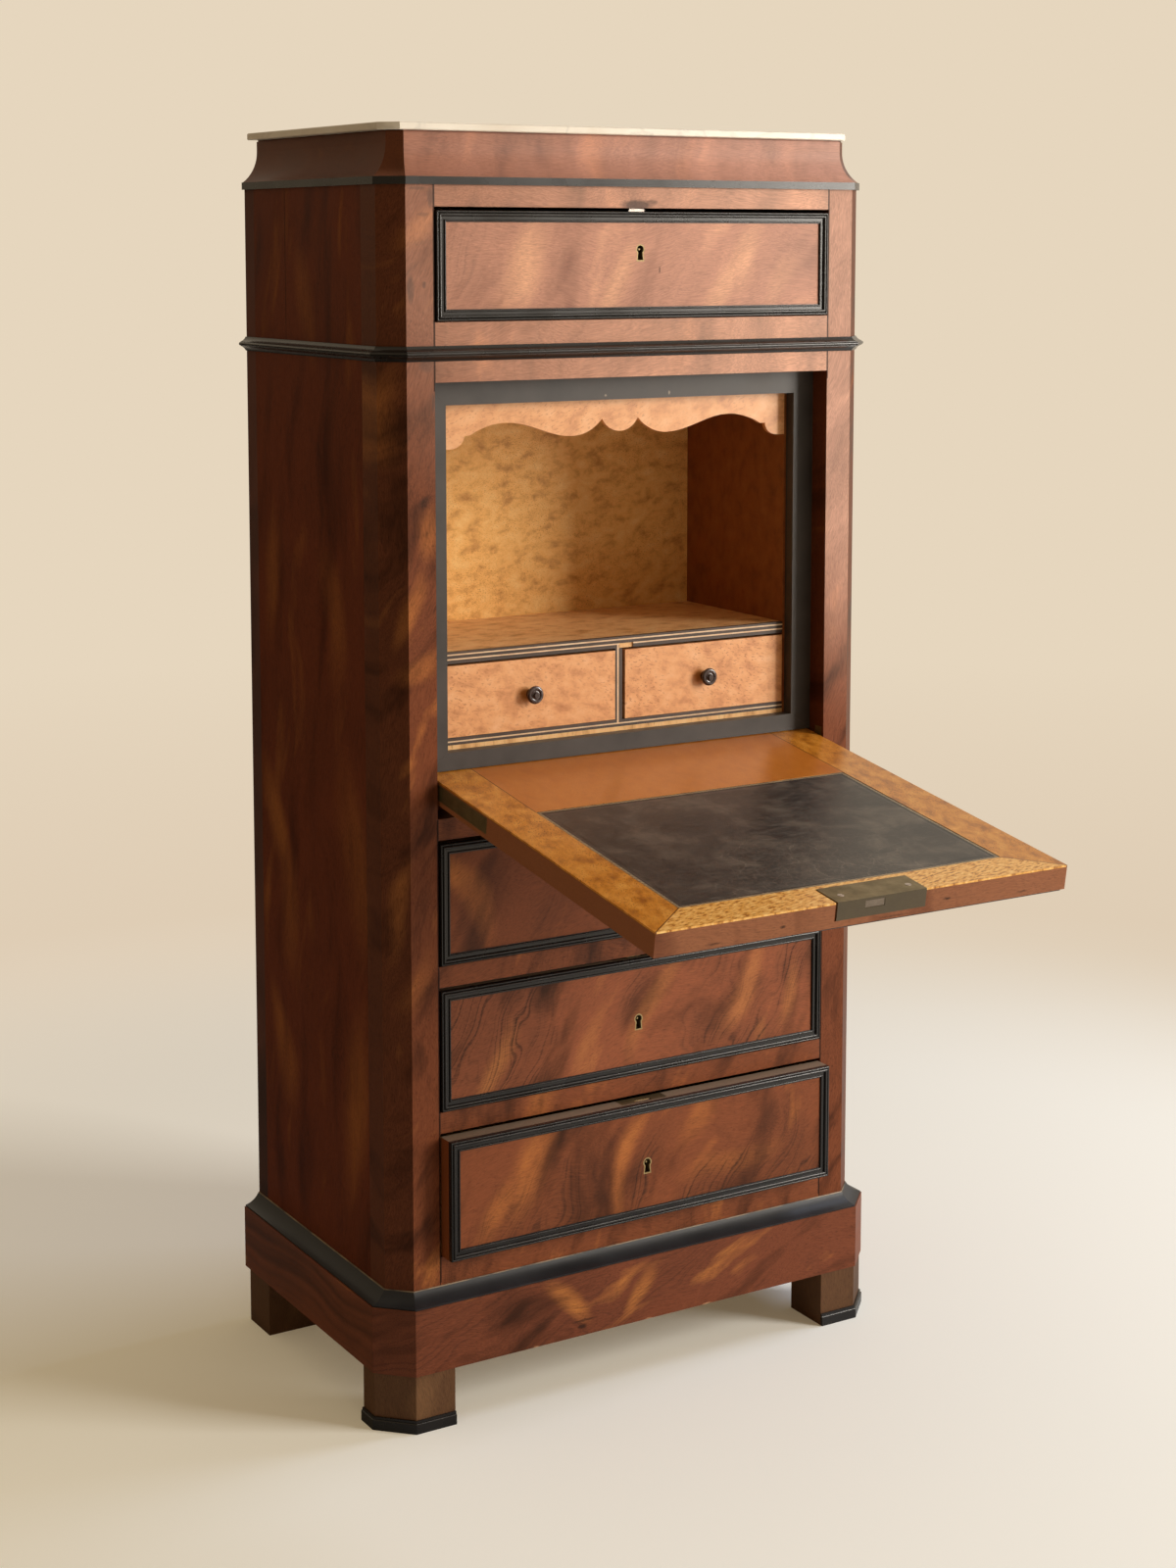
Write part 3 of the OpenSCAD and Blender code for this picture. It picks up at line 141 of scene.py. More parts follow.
def mahogany(name, face, grain, tones, flames=(), knots=(), plumes_at=(62, 170, 60), veins=0.7,
        contrast=1.0, polish=0.42, gloss=0.18, seed=0.0, faded_and_glare=None, edges=None, seams=()):
    """Old figured mahogany veneer.  tones are dark, middle and light; grain is the lean of the
    fibres; plumes_at is the plumes' lean, length and width; a flame or a knot is (along, up,
    lean, half length, half width, strength); faded_and_glare is the height (m) where bleaching
    and the painted glare of the key light begin, their tone and their strength, and with it what
    faces aside is painted darker as shade; edges are the tones of the bare upper and left edges;
    a seam is a dark joint line, (axis, place, lowest, highest) in mm."""
    dark, middle, light = tones
    material, tree, shader = new_material(name)
    here = add_node(tree, "TexCoord")
    place = here.outputs["Object"]
    turned = add_node(tree, "SeparateXYZ", {"Vector": here.outputs["Normal"]})
    # the figure bends slowly over a hand's width and quivers over a few millimetres; a flame or a
    # knot fades from its core to its rim; a joint's dirt is drawn 1.2 mm wide
    slow_bend, quick_bend = 0.085, 0.004
    core, rim, half_line, dirt_strength = 0.2, 1.3, 0.0006, 0.85
    slow = add_node(tree, "TexNoise", {"Vector": place, "Scale": 6.0, "Detail": 1.0, "W": seed},
        noise_dimensions="4D")
    quick = add_node(tree, "TexNoise", {"Vector": place, "Scale": 45.0, "Detail": 2.0})
    bent = add_node(tree, "VectorMath", {0: slow.outputs["Color"], 1: [slow_bend] * 3, 2: place},
        operation="MULTIPLY_ADD")
    curly = add_node(tree, "VectorMath", {0: quick.outputs["Color"], 1: [quick_bend] * 3, 2: bent},
        operation="MULTIPLY_ADD")
    shift = 500 * (slow_bend + quick_bend)

    def spots(places):
        """The places' soft ovals together, each at its own strength."""
        sum_of = None
        for along, up, lean, length, width, strength in places:
            oval = add_node(tree, "Mapping",
                {"Vector": curly, **on_face(face, along + shift, up + shift, lean, length, width)},
                vector_type="TEXTURE")
            far = add_node(tree, "VectorMath", {0: oval}, operation="LENGTH")
            fade = add_node(tree, "MapRange", {"Value": far, "From": (core, rim),
                "To": (strength, 0.0)}, interpolation_type="SMOOTHSTEP")
            sum_of = fade if sum_of is None else add_node(tree, "Math", {0: sum_of, 1: fade},
                operation="MAXIMUM")
        return sum_of

    # fibres: short level streaks, drawn about a millimetre wide so that they show
    fibre_way = add_node(tree, "Mapping",
        {"Vector": curly, **on_face(face, 0, 0, grain, 22, 1.1, through=1.1)},
        vector_type="TEXTURE")
    fibres = add_node(tree, "TexNoise", {"Vector": fibre_way, "Scale": 1.0, "Detail": 4.0,
        "Roughness": 0.65, "Distortion": 0.2})
    shade = add_node(tree, "MapRange", {"Value": fibres, "From": (0.3, 0.7),
        "To": (1.0 - 0.24 * contrast, 1.0 + 0.16 * contrast)})
    # plumes: lighter and darker bands two fingers wide that lean across the leaf
    plume_way = add_node(tree, "Mapping", {"Vector": curly, **on_face(face, 0, 0, *plumes_at)},
        vector_type="TEXTURE")
    plumes = add_node(tree, "TexNoise", {"Vector": plume_way, "Scale": 1.0, "Detail": 3.0,
        "Roughness": 0.55, "W": seed}, noise_dimensions="4D")
    ground = add_node(tree, "ValToRGB", {"Fac": plumes}, stops=[(0.30, dark), (0.48, middle),
        (0.58, middle), (0.76, light)])
    # the flames of the crotch figure, each where the veneer shows it, broken up by the plumes
    glow = spots(flames)
    if glow is not None:
        ragged = add_node(tree, "MapRange", {"Value": plumes, "From": (0.36, 0.56),
            "To": (0.35, 1.0)})
        glow = add_node(tree, "Math", {0: glow, 1: ragged}, operation="MULTIPLY")
        ground = add_node(tree, "Mix", {0: glow, 6: ground, 7: linear(light)}, data_type="RGBA")
    ground = add_node(tree, "Mix", {0: 1.0, 6: ground, 7: shade}, data_type="RGBA",
        blend_type="MULTIPLY")
    # dark growth lines some millimetres apart that flow along the plumes, bent into swirls,
    # where a slow noise lets them show, with a little smoke round them
    ring_way, swirl_way = [add_node(tree, "Mapping", {"Vector": curly,
        **on_face(face, 0, 0, plumes_at[0], *size)}, vector_type="TEXTURE")
        for size in ((1000, 7), (160, 70))]
    ring_place = add_node(tree, "SeparateXYZ", {"Vector": ring_way})
    across = ring_place.outputs["Y" if face == "level" else "Z"]
    swirl = add_node(tree, "TexNoise", {"Vector": swirl_way, "Scale": 1.0, "Detail": 2.0,
        "W": seed + 1.3}, noise_dimensions="4D")
    rings = add_node(tree, "Math", {0: swirl, 1: 17.0, 2: across}, operation="MULTIPLY_ADD")
    years = add_node(tree, "TexNoise", {"W": rings, "Scale": 1.4, "Detail": 2.0, "Roughness": 0.7},
        noise_dimensions="1D")
    thin = add_node(tree, "MapRange", {"Value": years, "From": (0.44, 0.74), "To": (0.0, 0.85)},
        interpolation_type="SMOOTHSTEP")
    broken = add_node(tree, "MapRange", {"Value": fibres, "From": (0.60, 0.45), "To": (0.5, 1.0)})
    drawn = add_node(tree, "Math", {0: thin, 1: broken}, operation="MULTIPLY")
    smoky = add_node(tree, "Math", {0: drawn, 1: 0.76, 2: 0.24}, operation="MULTIPLY_ADD")
    patch = add_node(tree, "TexNoise", {"Vector": bent, "Scale": 7.0, "Detail": 3.0,
        "W": seed + 3.7}, noise_dimensions="4D")
    patches = add_node(tree, "MapRange", {"Value": patch, "From": (0.45, 0.60),
        "To": (0.0, veins)}, interpolation_type="SMOOTHSTEP")
    dots = spots(knots)
    if dots is not None:
        patches = add_node(tree, "Math", {0: patches, 1: dots}, operation="MAXIMUM")
    veined = add_node(tree, "Math", {0: smoky, 1: patches}, operation="MULTIPLY")
    colour = add_node(tree, "Mix", {0: veined, 6: ground, 7: linear("#21150E")}, data_type="RGBA")
    # open pores: short dark dashes along the grain, drawn about a millimetre wide
    pore_way = add_node(tree, "Mapping",
        {"Vector": curly, **on_face(face, 0, 0, grain, 7, 0.8, through=0.8)},
        vector_type="TEXTURE")
    pores = add_node(tree, "TexNoise", {"Vector": pore_way, "Scale": 1.0, "Detail": 1.0})
    open_pores = add_node(tree, "MapRange", {"Value": pores, "From": (0.58, 0.70),
        "To": (0.0, 0.35 * contrast)})
    colour = add_node(tree, "Mix", {0: open_pores, 6: colour, 7: linear("#2A140A")},
        data_type="RGBA")
    spot = add_node(tree, "SeparateXYZ", {"Vector": place})
    if faded_and_glare:
        # daylight has bleached what faces the room above the height given, more and from lower
        # down to the right; the same pale tone also paints the glare of the key light, which comes
        # from the right; what faces aside, as the cants do, is painted darker as shade
        lower_right = add_node(tree, "Math", {0: spot.outputs["X"], 1: 0.5, 2: spot.outputs["Z"]},
            operation="MULTIPLY_ADD")
        high = add_node(tree, "MapRange",
            {"Value": lower_right, "From": (faded_and_glare[0], faded_and_glare[0] + 0.3), "To": (0.0, faded_and_glare[2])},
            interpolation_type="SMOOTHSTEP")
        aside = add_node(tree, "Math", {0: turned.outputs["X"]}, operation="ABSOLUTE")
        facing = add_node(tree, "MapRange", {"Value": aside, "From": (0.25, 0.55),
            "To": (1.0, 0.0)})
        deep = add_node(tree, "MapRange", {"Value": facing, "To": (0.6, 1.0)})
        colour = add_node(tree, "Mix", {0: 1.0, 6: colour, 7: deep}, data_type="RGBA",
            blend_type="MULTIPLY")
        more_to_the_right = add_node(tree, "MapRange", {"Value": spot.outputs["X"], "From": (-0.32, 0.32),
            "To": (0.45, 1.25)})
        high = add_node(tree, "Math", {0: high, 1: more_to_the_right}, operation="MULTIPLY")
        fade_and_glare = add_node(tree, "Math", {0: high, 1: facing}, operation="MULTIPLY")
        banded = add_node(tree, "MapRange", {"Value": plumes, "From": (0.32, 0.68),
            "To": (0.74, 1.2)})
        pale_and_glare_tone = add_node(tree, "Mix", {0: 1.0, 6: linear(faded_and_glare[1]), 7: banded}, data_type="RGBA",
            blend_type="MULTIPLY")
        pale_and_glare_tone = add_node(tree, "Mix", {0: 1.0, 6: pale_and_glare_tone, 7: shade}, data_type="RGBA",
            blend_type="MULTIPLY")
        colour = add_node(tree, "Mix", {0: fade_and_glare, 6: colour, 7: pale_and_glare_tone}, data_type="RGBA")
    if edges:
        # bare edges of the front: the upper one rubbed grey, the left one solid wood
        upper = add_node(tree, "Math", {0: turned.outputs["Z"], 1: 0.7}, operation="GREATER_THAN")
        left = add_node(tree, "Math", {0: turned.outputs["X"], 1: -0.7}, operation="LESS_THAN")
        for where, tone in ((upper, edges[0]), (left, edges[1])):
            bare = add_node(tree, "Mix", {0: 1.0, 6: linear(tone), 7: shade}, data_type="RGBA",
                blend_type="MULTIPLY")
            colour = add_node(tree, "Mix", {0: where, 6: colour, 7: bare}, data_type="RGBA")
    for axis, at, lowest, highest in seams:
        on_line = add_node(tree, "Math", {0: spot.outputs[axis], 1: at / 1000, 2: half_line},
            operation="COMPARE")
        halfway, reach = (lowest + highest) / 2000, (highest - lowest) / 2000
        beside = add_node(tree, "Math", {0: spot.outputs["Z"], 1: halfway, 2: reach},
            operation="COMPARE")
        dirt = add_node(tree, "Math", {0: on_line, 1: beside}, operation="MULTIPLY")
        dirt = add_node(tree, "Math", {0: dirt, 1: dirt_strength}, operation="MULTIPLY")
        colour = add_node(tree, "Mix", {0: dirt, 6: colour, 7: linear("#120907")},
            data_type="RGBA")
    dull = add_node(tree, "MapRange", {"Value": plumes, "From": (0.3, 0.7),
        "To": (polish - 0.05, polish + 0.08)})
    bump = add_node(tree, "Bump", {"Height": fibres, "Strength": 0.2, "Distance": 0.0003})
    feed(shader, {"Base Color": colour, "Roughness": dull, "Normal": bump, "IOR": 1.5,
        "Specular IOR Level": gloss})
    return material


CASE_TONES = ("#40200F", "#804628", "#BC7238")
dress(["corner_posts"],
    marked(mahogany("mahogany_veneer_upright", "front", 80, ("#3C1E10", "#784228", "#BC743C"),
    plumes_at=(60, 120, 40), veins=0.35, contrast=1.2, gloss=0.1, seed=2.0,
    faded_and_glare=(0.86, "#C49884", 0.74),
    seams=[("X", at, *reach) for at in (-262.65, 262.65) for reach in ((157, 690), (1162, 1392))],
    flames=[(-279, 1006, 60, 30, 16, 0.6), (-282, 863, 30, 30, 16, 0.7),
    (-279, 517, 60, 40, 18, 0.3), (-285, 1333, 60, 30, 16, 0.6), (-306, 1140, 85, 60, 12, 0.9),
    (-306, 930, 80, 40, 10, 0.7), (-306, 600, 80, 60, 10, 0.8)],
    knots=[(-280, 1033, 40, 16, 7, 0.9), (-284, 1006, 30, 7, 3, 0.9), (-280, 930, 40, 14, 5, 0.8),
    (-272, 640, 60, 20, 7, 0.7), (-285, 1281, 70, 14, 5, 0.9), (-280, 1316, 10, 16, 4, 0.7)]),
    "#5A4C46", [(-291, 35, 1272, 5, 6, 17, 0.55), (-274, 35, 1277, 2.5, 6, 4, 0.6),
    (-266, 35, 1370, 4, 6, 12, 0.5), (-275, 35, 1352, 8, 6, 2.5, 0.35),
    (-282, 35, 1380, 12, 6, 2, 0.4), (-272, 35, 1190, 9, 6, 8, 0.4),
    (-264, 35, 1150, 2, 6, 12, 0.45)]))
dress(["side_panels"], mahogany("mahogany_veneer_side", "side", 89,
    ("#482012", "#66301A", "#8E5224"), plumes_at=(95, 300, 60), veins=0.35, contrast=1.1,
    polish=0.45, gloss=0.05, seed=5.0, seams=[("Y", 292, 1204, 1392), ("Y", 388, 157, 1200)],
    flames=[(335, 931, 100, 80, 26, 0.6), (185, 902, 75, 90, 26, 0.65),
    (337, 650, 60, 80, 30, 0.9), (127, 630, 80, 120, 36, 0.6), (324, 368, 70, 80, 28, 0.75),
    (129, 350, 105, 130, 36, 0.6), (244, 1251, 75, 60, 22, 0.5), (300, 560, 80, 100, 30, 0.65)]))
dress(["front_rails"], marked(mahogany("mahogany_veneer_level", "front", 3, CASE_TONES,
    plumes_at=(70, 120, 46), veins=0.5, contrast=1.2, seed=4.0, faded_and_glare=(0.84, "#D7A48A", 0.76),
    seams=[("X", -261.6, 160, 1390), ("X", 261.6, 160, 1390)], flames=[(60, 1214, 60, 60, 16, 0.6),
    (-120, 338, 60, 60, 18, 0.7)]), "#2C2624", [(-4, 35, 1364, 22, 9, 6, 0.75),
    (14, 35, 1367, 9, 9, 3, 0.6)]))


# Back, dust boards, runners and drawer boxes
# Plain joiner's work behind the veneer: planed pine, glued and nailed, unpolished, browned by age
# and dust in patches, with straight bands of darker late wood some millimetres apart.

def pine(name, face, grain, stained=False):
    """Bare old pine with its late wood bands running the way of grain; stained as mahogany on
    the faces that look to the left and right, if wanted."""
    material, tree, shader = new_material(name)
    place = add_node(tree, "TexCoord").outputs["Object"]
    bend = 0.02  # m, over a span
    wander = add_node(tree, "TexNoise", {"Vector": place, "Scale": 4.0, "Detail": 2.0})
    bent = add_node(tree, "VectorMath", {0: wander.outputs["Color"], 1: [bend] * 3, 2: place},
        operation="MULTIPLY_ADD")
    way = add_node(tree, "Mapping", {"Vector": bent, **on_face(face, 0, 0, grain, 420, 5)},
        vector_type="TEXTURE")
    bands = add_node(tree, "TexNoise", {"Vector": way, "Scale": 1.0, "Detail": 3.0,
        "Roughness": 0.6})
    wood = add_node(tree, "ValToRGB", {"Fac": bands}, stops=[(0.32, "#8A6238"), (0.5, "#B98C58"),
        (0.7, "#D0A873")])
    dust = add_node(tree, "TexNoise", {"Vector": place, "Scale": 9.0, "Detail": 3.0})
    grime = add_node(tree, "MapRange", {"Value": dust, "From": (0.45, 0.75), "To": (0.0, 0.45)})
    colour = add_node(tree, "Mix", {0: grime, 6: wood, 7: linear("#6B4E33")}, data_type="RGBA")
    if stained:
        normal = add_node(tree, "TexCoord").outputs["Normal"]
        turned = add_node(tree, "SeparateXYZ", {"Vector": normal}).outputs["X"]
        outside = add_node(tree, "Math", {0: turned}, operation="ABSOLUTE")
        stain = add_node(tree, "ValToRGB", {"Fac": bands},
            stops=[(0.3, "#2E1006"), (0.7, "#5E2A12")])
        colour = add_node(tree, "Mix", {0: outside, 6: colour, 7: stain}, data_type="RGBA")
    bump = add_node(tree, "Bump", {"Height": bands, "Strength": 0.3, "Distance": 0.0005})
    feed(shader, {"Base Color": colour, "Normal": bump, "Roughness": 0.72})
    return material


upright_pine = pine("old_pine_upright", "front", 90, stained=True)
deep_pine = pine("old_pine_deep", "side", 0)
flat_pine = pine("old_pine_flat", "level", 0)
DRAWERS = ["frieze", "upper", "middle", "lower"]
dress(["back_frame", "back_boards"], upright_pine)
dress(["case_top", "dust_boards"], flat_pine)
dress(["drawer_runners"] + [d + "_drawer_box" for d in DRAWERS], deep_pine)
dress(["left_small_box", "right_small_box"], deep_pine)


# Cornice
# A wide cavetto worked in mahogany veneer with the grain level, mitred round the canted corners,
# under a thin marble slab.

dress(["cornice"], mahogany("mahogany_cornice", "front", 2, CASE_TONES, plumes_at=(85, 120, 46),
    veins=0.3, contrast=0.95, seed=7.0, faded_and_glare=(0.86, "#C69684", 0.74),
    flames=[(-60, 1415, 85, 40, 16, 0.6), (70, 1415, 85, 40, 14, 0.6),
    (215, 1415, 85, 40, 12, 0.5)], knots=[(-150, 1415, 85, 40, 16, 0.3),
    (-30, 1415, 85, 40, 14, 0.35), (240, 1415, 85, 40, 12, 0.4)]))


# Marble
# A loose slab of veined white marble, eight millimetres thick with a small chamfer, polished on
# top, its front edge clean; its left end, which lies in shade, is painted grey-brown.

marble, tree, shader = new_material("white_marble")
place = add_node(tree, "TexCoord").outputs["Object"]
cloud = add_node(tree, "TexNoise", {"Vector": place, "Scale": 5.0, "Detail": 6.0,
    "Distortion": 1.2})
body = add_node(tree, "ValToRGB", {"Fac": cloud}, stops=[(0.3, "#D8CCBB"), (0.5, "#EAE2D4"),
    (0.75, "#F2ECE0")])
vein = add_node(tree, "TexNoise", {"Vector": place, "Scale": 3.0, "Detail": 5.0,
    "Distortion": 2.0})
fold = add_node(tree, "Math", {0: vein, 1: 0.5}, operation="SUBTRACT")
ridge = add_node(tree, "Math", {0: fold}, operation="ABSOLUTE")
thread = add_node(tree, "MapRange", {"Value": ridge, "From": (0.0, 0.02), "To": (0.25, 0.0)})
veined = add_node(tree, "Mix", {0: thread, 6: body, 7: linear("#9C968E")}, data_type="RGBA")
sides = add_node(tree, "SeparateXYZ", {"Vector": place})
# the last 28 mm at the left end are painted grey-brown as the shade on that end
left_end_shade = add_node(tree, "MapRange", {"Value": sides.outputs["X"], "From": (-0.328, -0.300),
    "To": (0.75, 0.0)})
shaded_slab = add_node(tree, "Mix", {0: left_end_shade, 6: veined, 7: linear("#A58C6C")}, data_type="RGBA")
feed(shader, {"Base Color": shaded_slab, "Roughness": 0.3})
dress(["marble_top"], marble)


# Ebonised mouldings
# Fillet, half round mouldings, bead frames and stop frame are fruitwood stained black and
# polished, run in lengths and mitred.  The stain is rubbed through to brown on the arrises.

def ebonised(name, black="#171413", rubbed="#4A382C", roughness=0.26, rub=0.0, arris=None,
        gloss=0.55):
    """Black stained and polished fruitwood.  rub is how far its edges are worn to the rubbed tone,
    which on the knobs also paints their ring highlights, and arris the height (m) of an upper
    edge worn along its length."""
    material, tree, shader = new_material(name)
    place = add_node(tree, "TexCoord").outputs["Object"]
    mottle = add_node(tree, "TexNoise", {"Vector": place, "Scale": 22.0, "Detail": 4.0})
    tone = add_node(tree, "MapRange", {"Value": mottle, "From": (0.3, 0.7), "To": (0.8, 1.3)})
    colour = add_node(tree, "Mix", {0: 1.0, 6: linear(black), 7: tone}, data_type="RGBA",
        blend_type="MULTIPLY")
    patchy = add_node(tree, "TexNoise", {"Vector": place, "Scale": 25.0, "Detail": 3.0})
    if rub:
        edge = add_node(tree, "Bevel", {"Radius": 0.0008}, samples=4)
        face = add_node(tree, "NewGeometry")
        same = add_node(tree, "VectorMath", {0: edge, 1: face.outputs["Normal"]},
            operation="DOT_PRODUCT")
        worn = add_node(tree, "MapRange", {"Value": same, "From": (0.97, 0.80)})
        where = add_node(tree, "MapRange", {"Value": patchy, "From": (0.42, 0.62),
            "To": (0.0, rub)})
        amount = add_node(tree, "Math", {0: worn, 1: where}, operation="MULTIPLY")
        colour = add_node(tree, "Mix", {0: amount, 6: colour, 7: linear(rubbed)}, data_type="RGBA")
    if arris:
        height = add_node(tree, "SeparateXYZ", {"Vector": place}).outputs["Z"]
        top = add_node(tree, "MapRange",
            {"Value": height, "From": (arris - 0.0012, arris - 0.0004)})
        along = add_node(tree, "MapRange", {"Value": patchy, "From": (0.38, 0.56),
            "To": (0.15, 0.85)})
        bare = add_node(tree, "Math", {0: top, 1: along}, operation="MULTIPLY")
        colour = add_node(tree, "Mix", {0: bare, 6: colour, 7: linear(rubbed)}, data_type="RGBA")
    satin = add_node(tree, "MapRange", {"Value": mottle, "From": (0.3, 0.7),
        "To": (roughness - 0.03, roughness + 0.05)})
    feed(shader, {"Base Color": colour, "Roughness": satin, "Specular IOR Level": gloss})
    return material


black_polish = ebonised("ebonised_fruitwood")
dress(["cornice_fillet", "mid_moulding", "toe_moulding"], black_polish)
# the base moulding's greyer, bluer black partly paints the pale floor's reflection in its polish,
# with its gloss lowered to suit; the pale upper arris is wear
dress(["base_moulding"], ebonised("ebonised_base", "#242528", "#9A8468", 0.42, arris=0.157,
    gloss=0.3))
dress([d + "_drawer_moulding" for d in DRAWERS] + ["fall_moulding"], black_polish)
dress(["stop_frame"], marked(ebonised("ebonised_stop_frame", "#3B3633", "#7A6858", 0.42, 0.4,
    gloss=0.4), "#948674", [(-28.6, 63, 1149, 1.6, 6, 1.6, 0.8),
    (57.7, 63, 1150, 1.6, 6, 2.4, 0.8)]))


# Inside the fall
# Linings, shelf, valance and small drawers are faced with figured birch, golden from polish, its
# curl drawn by short brown flecks; the edges carry black and light stringing.  The linings are
# given dark brown tones that paint the shade they lie in.

def birch(name, face, grain, tones, fleck=0.5, curl=1.0, roughness=0.35, marks=(3.2, 1.5),
        gloss=0.5):
    """Curly and bird's-eye birch under a golden polish.  curl is how strong the cloudy figure
    is, fleck how dark its marks are and marks their length and width."""
    dark, middle, light = tones
    material, tree, shader = new_material(name)
    place = add_node(tree, "TexCoord").outputs["Object"]
    bend = 0.012  # m, over a few centimetres
    wander = add_node(tree, "TexNoise", {"Vector": place, "Scale": 30.0, "Detail": 2.0})
    bent = add_node(tree, "VectorMath", {0: wander.outputs["Color"], 1: [bend] * 3, 2: place},
        operation="MULTIPLY_ADD")
    # clouds of lighter and darker polish two fingers wide, with a fine grain in them
    cloud_way = add_node(tree, "Mapping", {"Vector": bent, **on_face(face, 0, 0, grain, 26, 17)},
        vector_type="TEXTURE")
    clouds = add_node(tree, "TexNoise", {"Vector": cloud_way, "Scale": 1.0, "Detail": 6.0,
        "Roughness": 0.62})
    ground = add_node(tree, "ValToRGB", {"Fac": clouds}, stops=[(0.5 - 0.20 / curl, dark),
        (0.5, middle), (0.5 + 0.20 / curl, light)])
    # the marks come in drifts
    mark_way = add_node(tree, "Mapping", {"Vector": bent, **on_face(face, 0, 0, grain, *marks)},
        vector_type="TEXTURE")
    flecks = add_node(tree, "TexNoise", {"Vector": mark_way, "Scale": 1.0, "Detail": 2.0})
    drift = add_node(tree, "TexNoise", {"Vector": place, "Scale": 16.0, "Detail": 2.0})
    drifts = add_node(tree, "MapRange", {"Value": drift, "From": (0.35, 0.62),
        "To": (0.25 * fleck, fleck)})
    eyes = add_node(tree, "MapRange", {"Value": flecks, "From": (0.57, 0.64)})
    drawn = add_node(tree, "Math", {0: eyes, 1: drifts}, operation="MULTIPLY")
    colour = add_node(tree, "Mix", {0: drawn, 6: ground, 7: linear(dark)}, data_type="RGBA")
    bump = add_node(tree, "Bump", {"Height": clouds, "Strength": 0.12, "Distance": 0.0006})
    feed(shader, {"Base Color": colour, "Normal": bump, "Roughness": roughness,
        "Specular IOR Level": gloss})
    return material


GOLDEN = ("#8C5220", "#EAB46A", "#F8D490")
PEACH = ("#AC683A", "#E2A26C", "#F0BC8C")
dress(["interior_back"], birch("birch_back", "front", 8, GOLDEN, fleck=0.6, curl=0.6,
    marks=(2.2, 0.9), gloss=0.12))
# the linings' dark brown tones are painted shade on the golden birch
dress(["interior_sides"], birch("birch_lining_painted_shade", "side", 90, ("#5E2C12", "#82481E", "#94582A"),
    fleck=0.1, curl=0.7))
dress(["interior_boards", "shelf"], birch("birch_shelf", "level", 0,
    ("#A87038", "#E9B880", "#F2D09C"), curl=0.8, gloss=0.25))
dress(["valance"], birch("birch_valance", "front", 20, PEACH, curl=0.6, marks=(5, 2)))
# the orange-brown marks just left of the two knobs are the knobs' shadows, painted on the fronts
dress(["left_small_front", "right_small_front"],
    marked(birch("birch_small_drawers", "front", -15, PEACH, fleck=0.7, curl=0.7, marks=(5, 2)),
    "#B06A24", [(-127, 78, 812, 7, 6, 8, 0.65), (110, 78, 812, 7, 6, 8, 0.65)]))
dress(["dark_stringing"], ebonised("dark_stringing", "#3A281C", "#6E5646", 0.4))
dress(["light_stringing"], birch("light_stringing", "front", 0, ("#CBA27C", "#E2BE98", "#EED2B2"),
    fleck=0.2))
# the knobs' pale rubbed edges are partly wear and partly painted ring highlights
dress(["left_small_knob", "right_small_knob"], ebonised("turned_knob", "#34201F", "#8A6A68", 0.2,
    0.9, gloss=0.9))


# Plinth and feet
# The plinth is mitred round the cants and veneered with the grain level, chipped along its lower
# edge; the feet are solid, browner and dustier than the case.

plinth_veneer = marked(mahogany("mahogany_plinth", "front", 4, ("#40200F", "#743E26", "#C27A3C"),
    plumes_at=(20, 150, 40), veins=0.5, seed=9.0, flames=[(-104, 112, -45, 40, 15, 1.0),
    (-8, 102, 60, 30, 11, 0.7)]), "#1E120C", [(-86, 15, 84, 18, 8, 1.6, 0.6),
    (-89, 15, 77, 6, 8, 3, 0.7)])
dress(["plinth"], marked(plinth_veneer, "#B8906A",
    [(2, 15, 66, 5, 6, 1.6, 0.7), (85, 15, 66, 7, 6, 1.6, 0.7), (-150, 15, 66, 4, 6, 1.4, 0.6),
    (-337, 403, 76, 4, 3, 8, 0.7)]))
dress(["front_feet", "back_feet"],
    marked(mahogany("mahogany_feet", "front", 88, ("#3A2618", "#5E4028", "#7A5838"), veins=0.2,
    polish=0.5, seed=11.0), "#A68E74", [(-303, 27, 52, 1.2, 4, 6, 0.7),
    (-334, 43, 60, 2, 3, 1.6, 0.7)]))


# Drawer fronts
# Four softwood fronts glued to their boxes, each veneered in one leaf of crotch mahogany, the
# figure running level with flames across it, the upper and left edges bare.

EDGES = ("#8C7864", "#7A4020")
dress(["frieze_drawer_front"],
    marked(mahogany("mahogany_frieze_drawer", "front", 5, ("#76452F", "#AA745A", "#E2A87C"),
    veins=0.25, seed=1.0, edges=EDGES, faded_and_glare=(0.86, "#CE9C88", 0.5),
    flames=[(-150, 1290, 60, 80, 24, 0.8), (-20, 1290, 62, 60, 18, 0.8),
    (150, 1310, 75, 50, 20, 1.0), (125, 1275, 62, 60, 14, 0.9), (195, 1280, 65, 50, 12, 0.8)],
    knots=[(-232, 1290, 80, 70, 30, 0.5), (190, 1262, 60, 40, 20, 0.3)]), "#1A100C",
    [(26, 31, 1291, 1.2, 9, 4.5, 0.8)]))
dress(["upper_drawer_front"], mahogany("mahogany_upper_drawer", "front", 12, CASE_TONES, seed=3.0,
    edges=EDGES, flames=[(-230, 610, -65, 60, 16, 0.9)]))
dress(["middle_drawer_front"], mahogany("mahogany_middle_drawer", "front", 8,
    ("#44230F", "#8E5032", "#C07A44"), veins=0.9, seed=6.0, edges=EDGES,
    flames=[(-205, 400, 62, 60, 16, 0.8), (35, 430, 66, 80, 14, 0.8), (140, 440, 62, 70, 18, 0.7),
    (215, 425, 66, 50, 12, 0.7), (-60, 400, 60, 50, 16, 0.4)],
    knots=[(-170, 450, -20, 80, 26, 0.9), (5, 440, 70, 50, 18, 0.9), (100, 380, 20, 60, 16, 0.7)]))
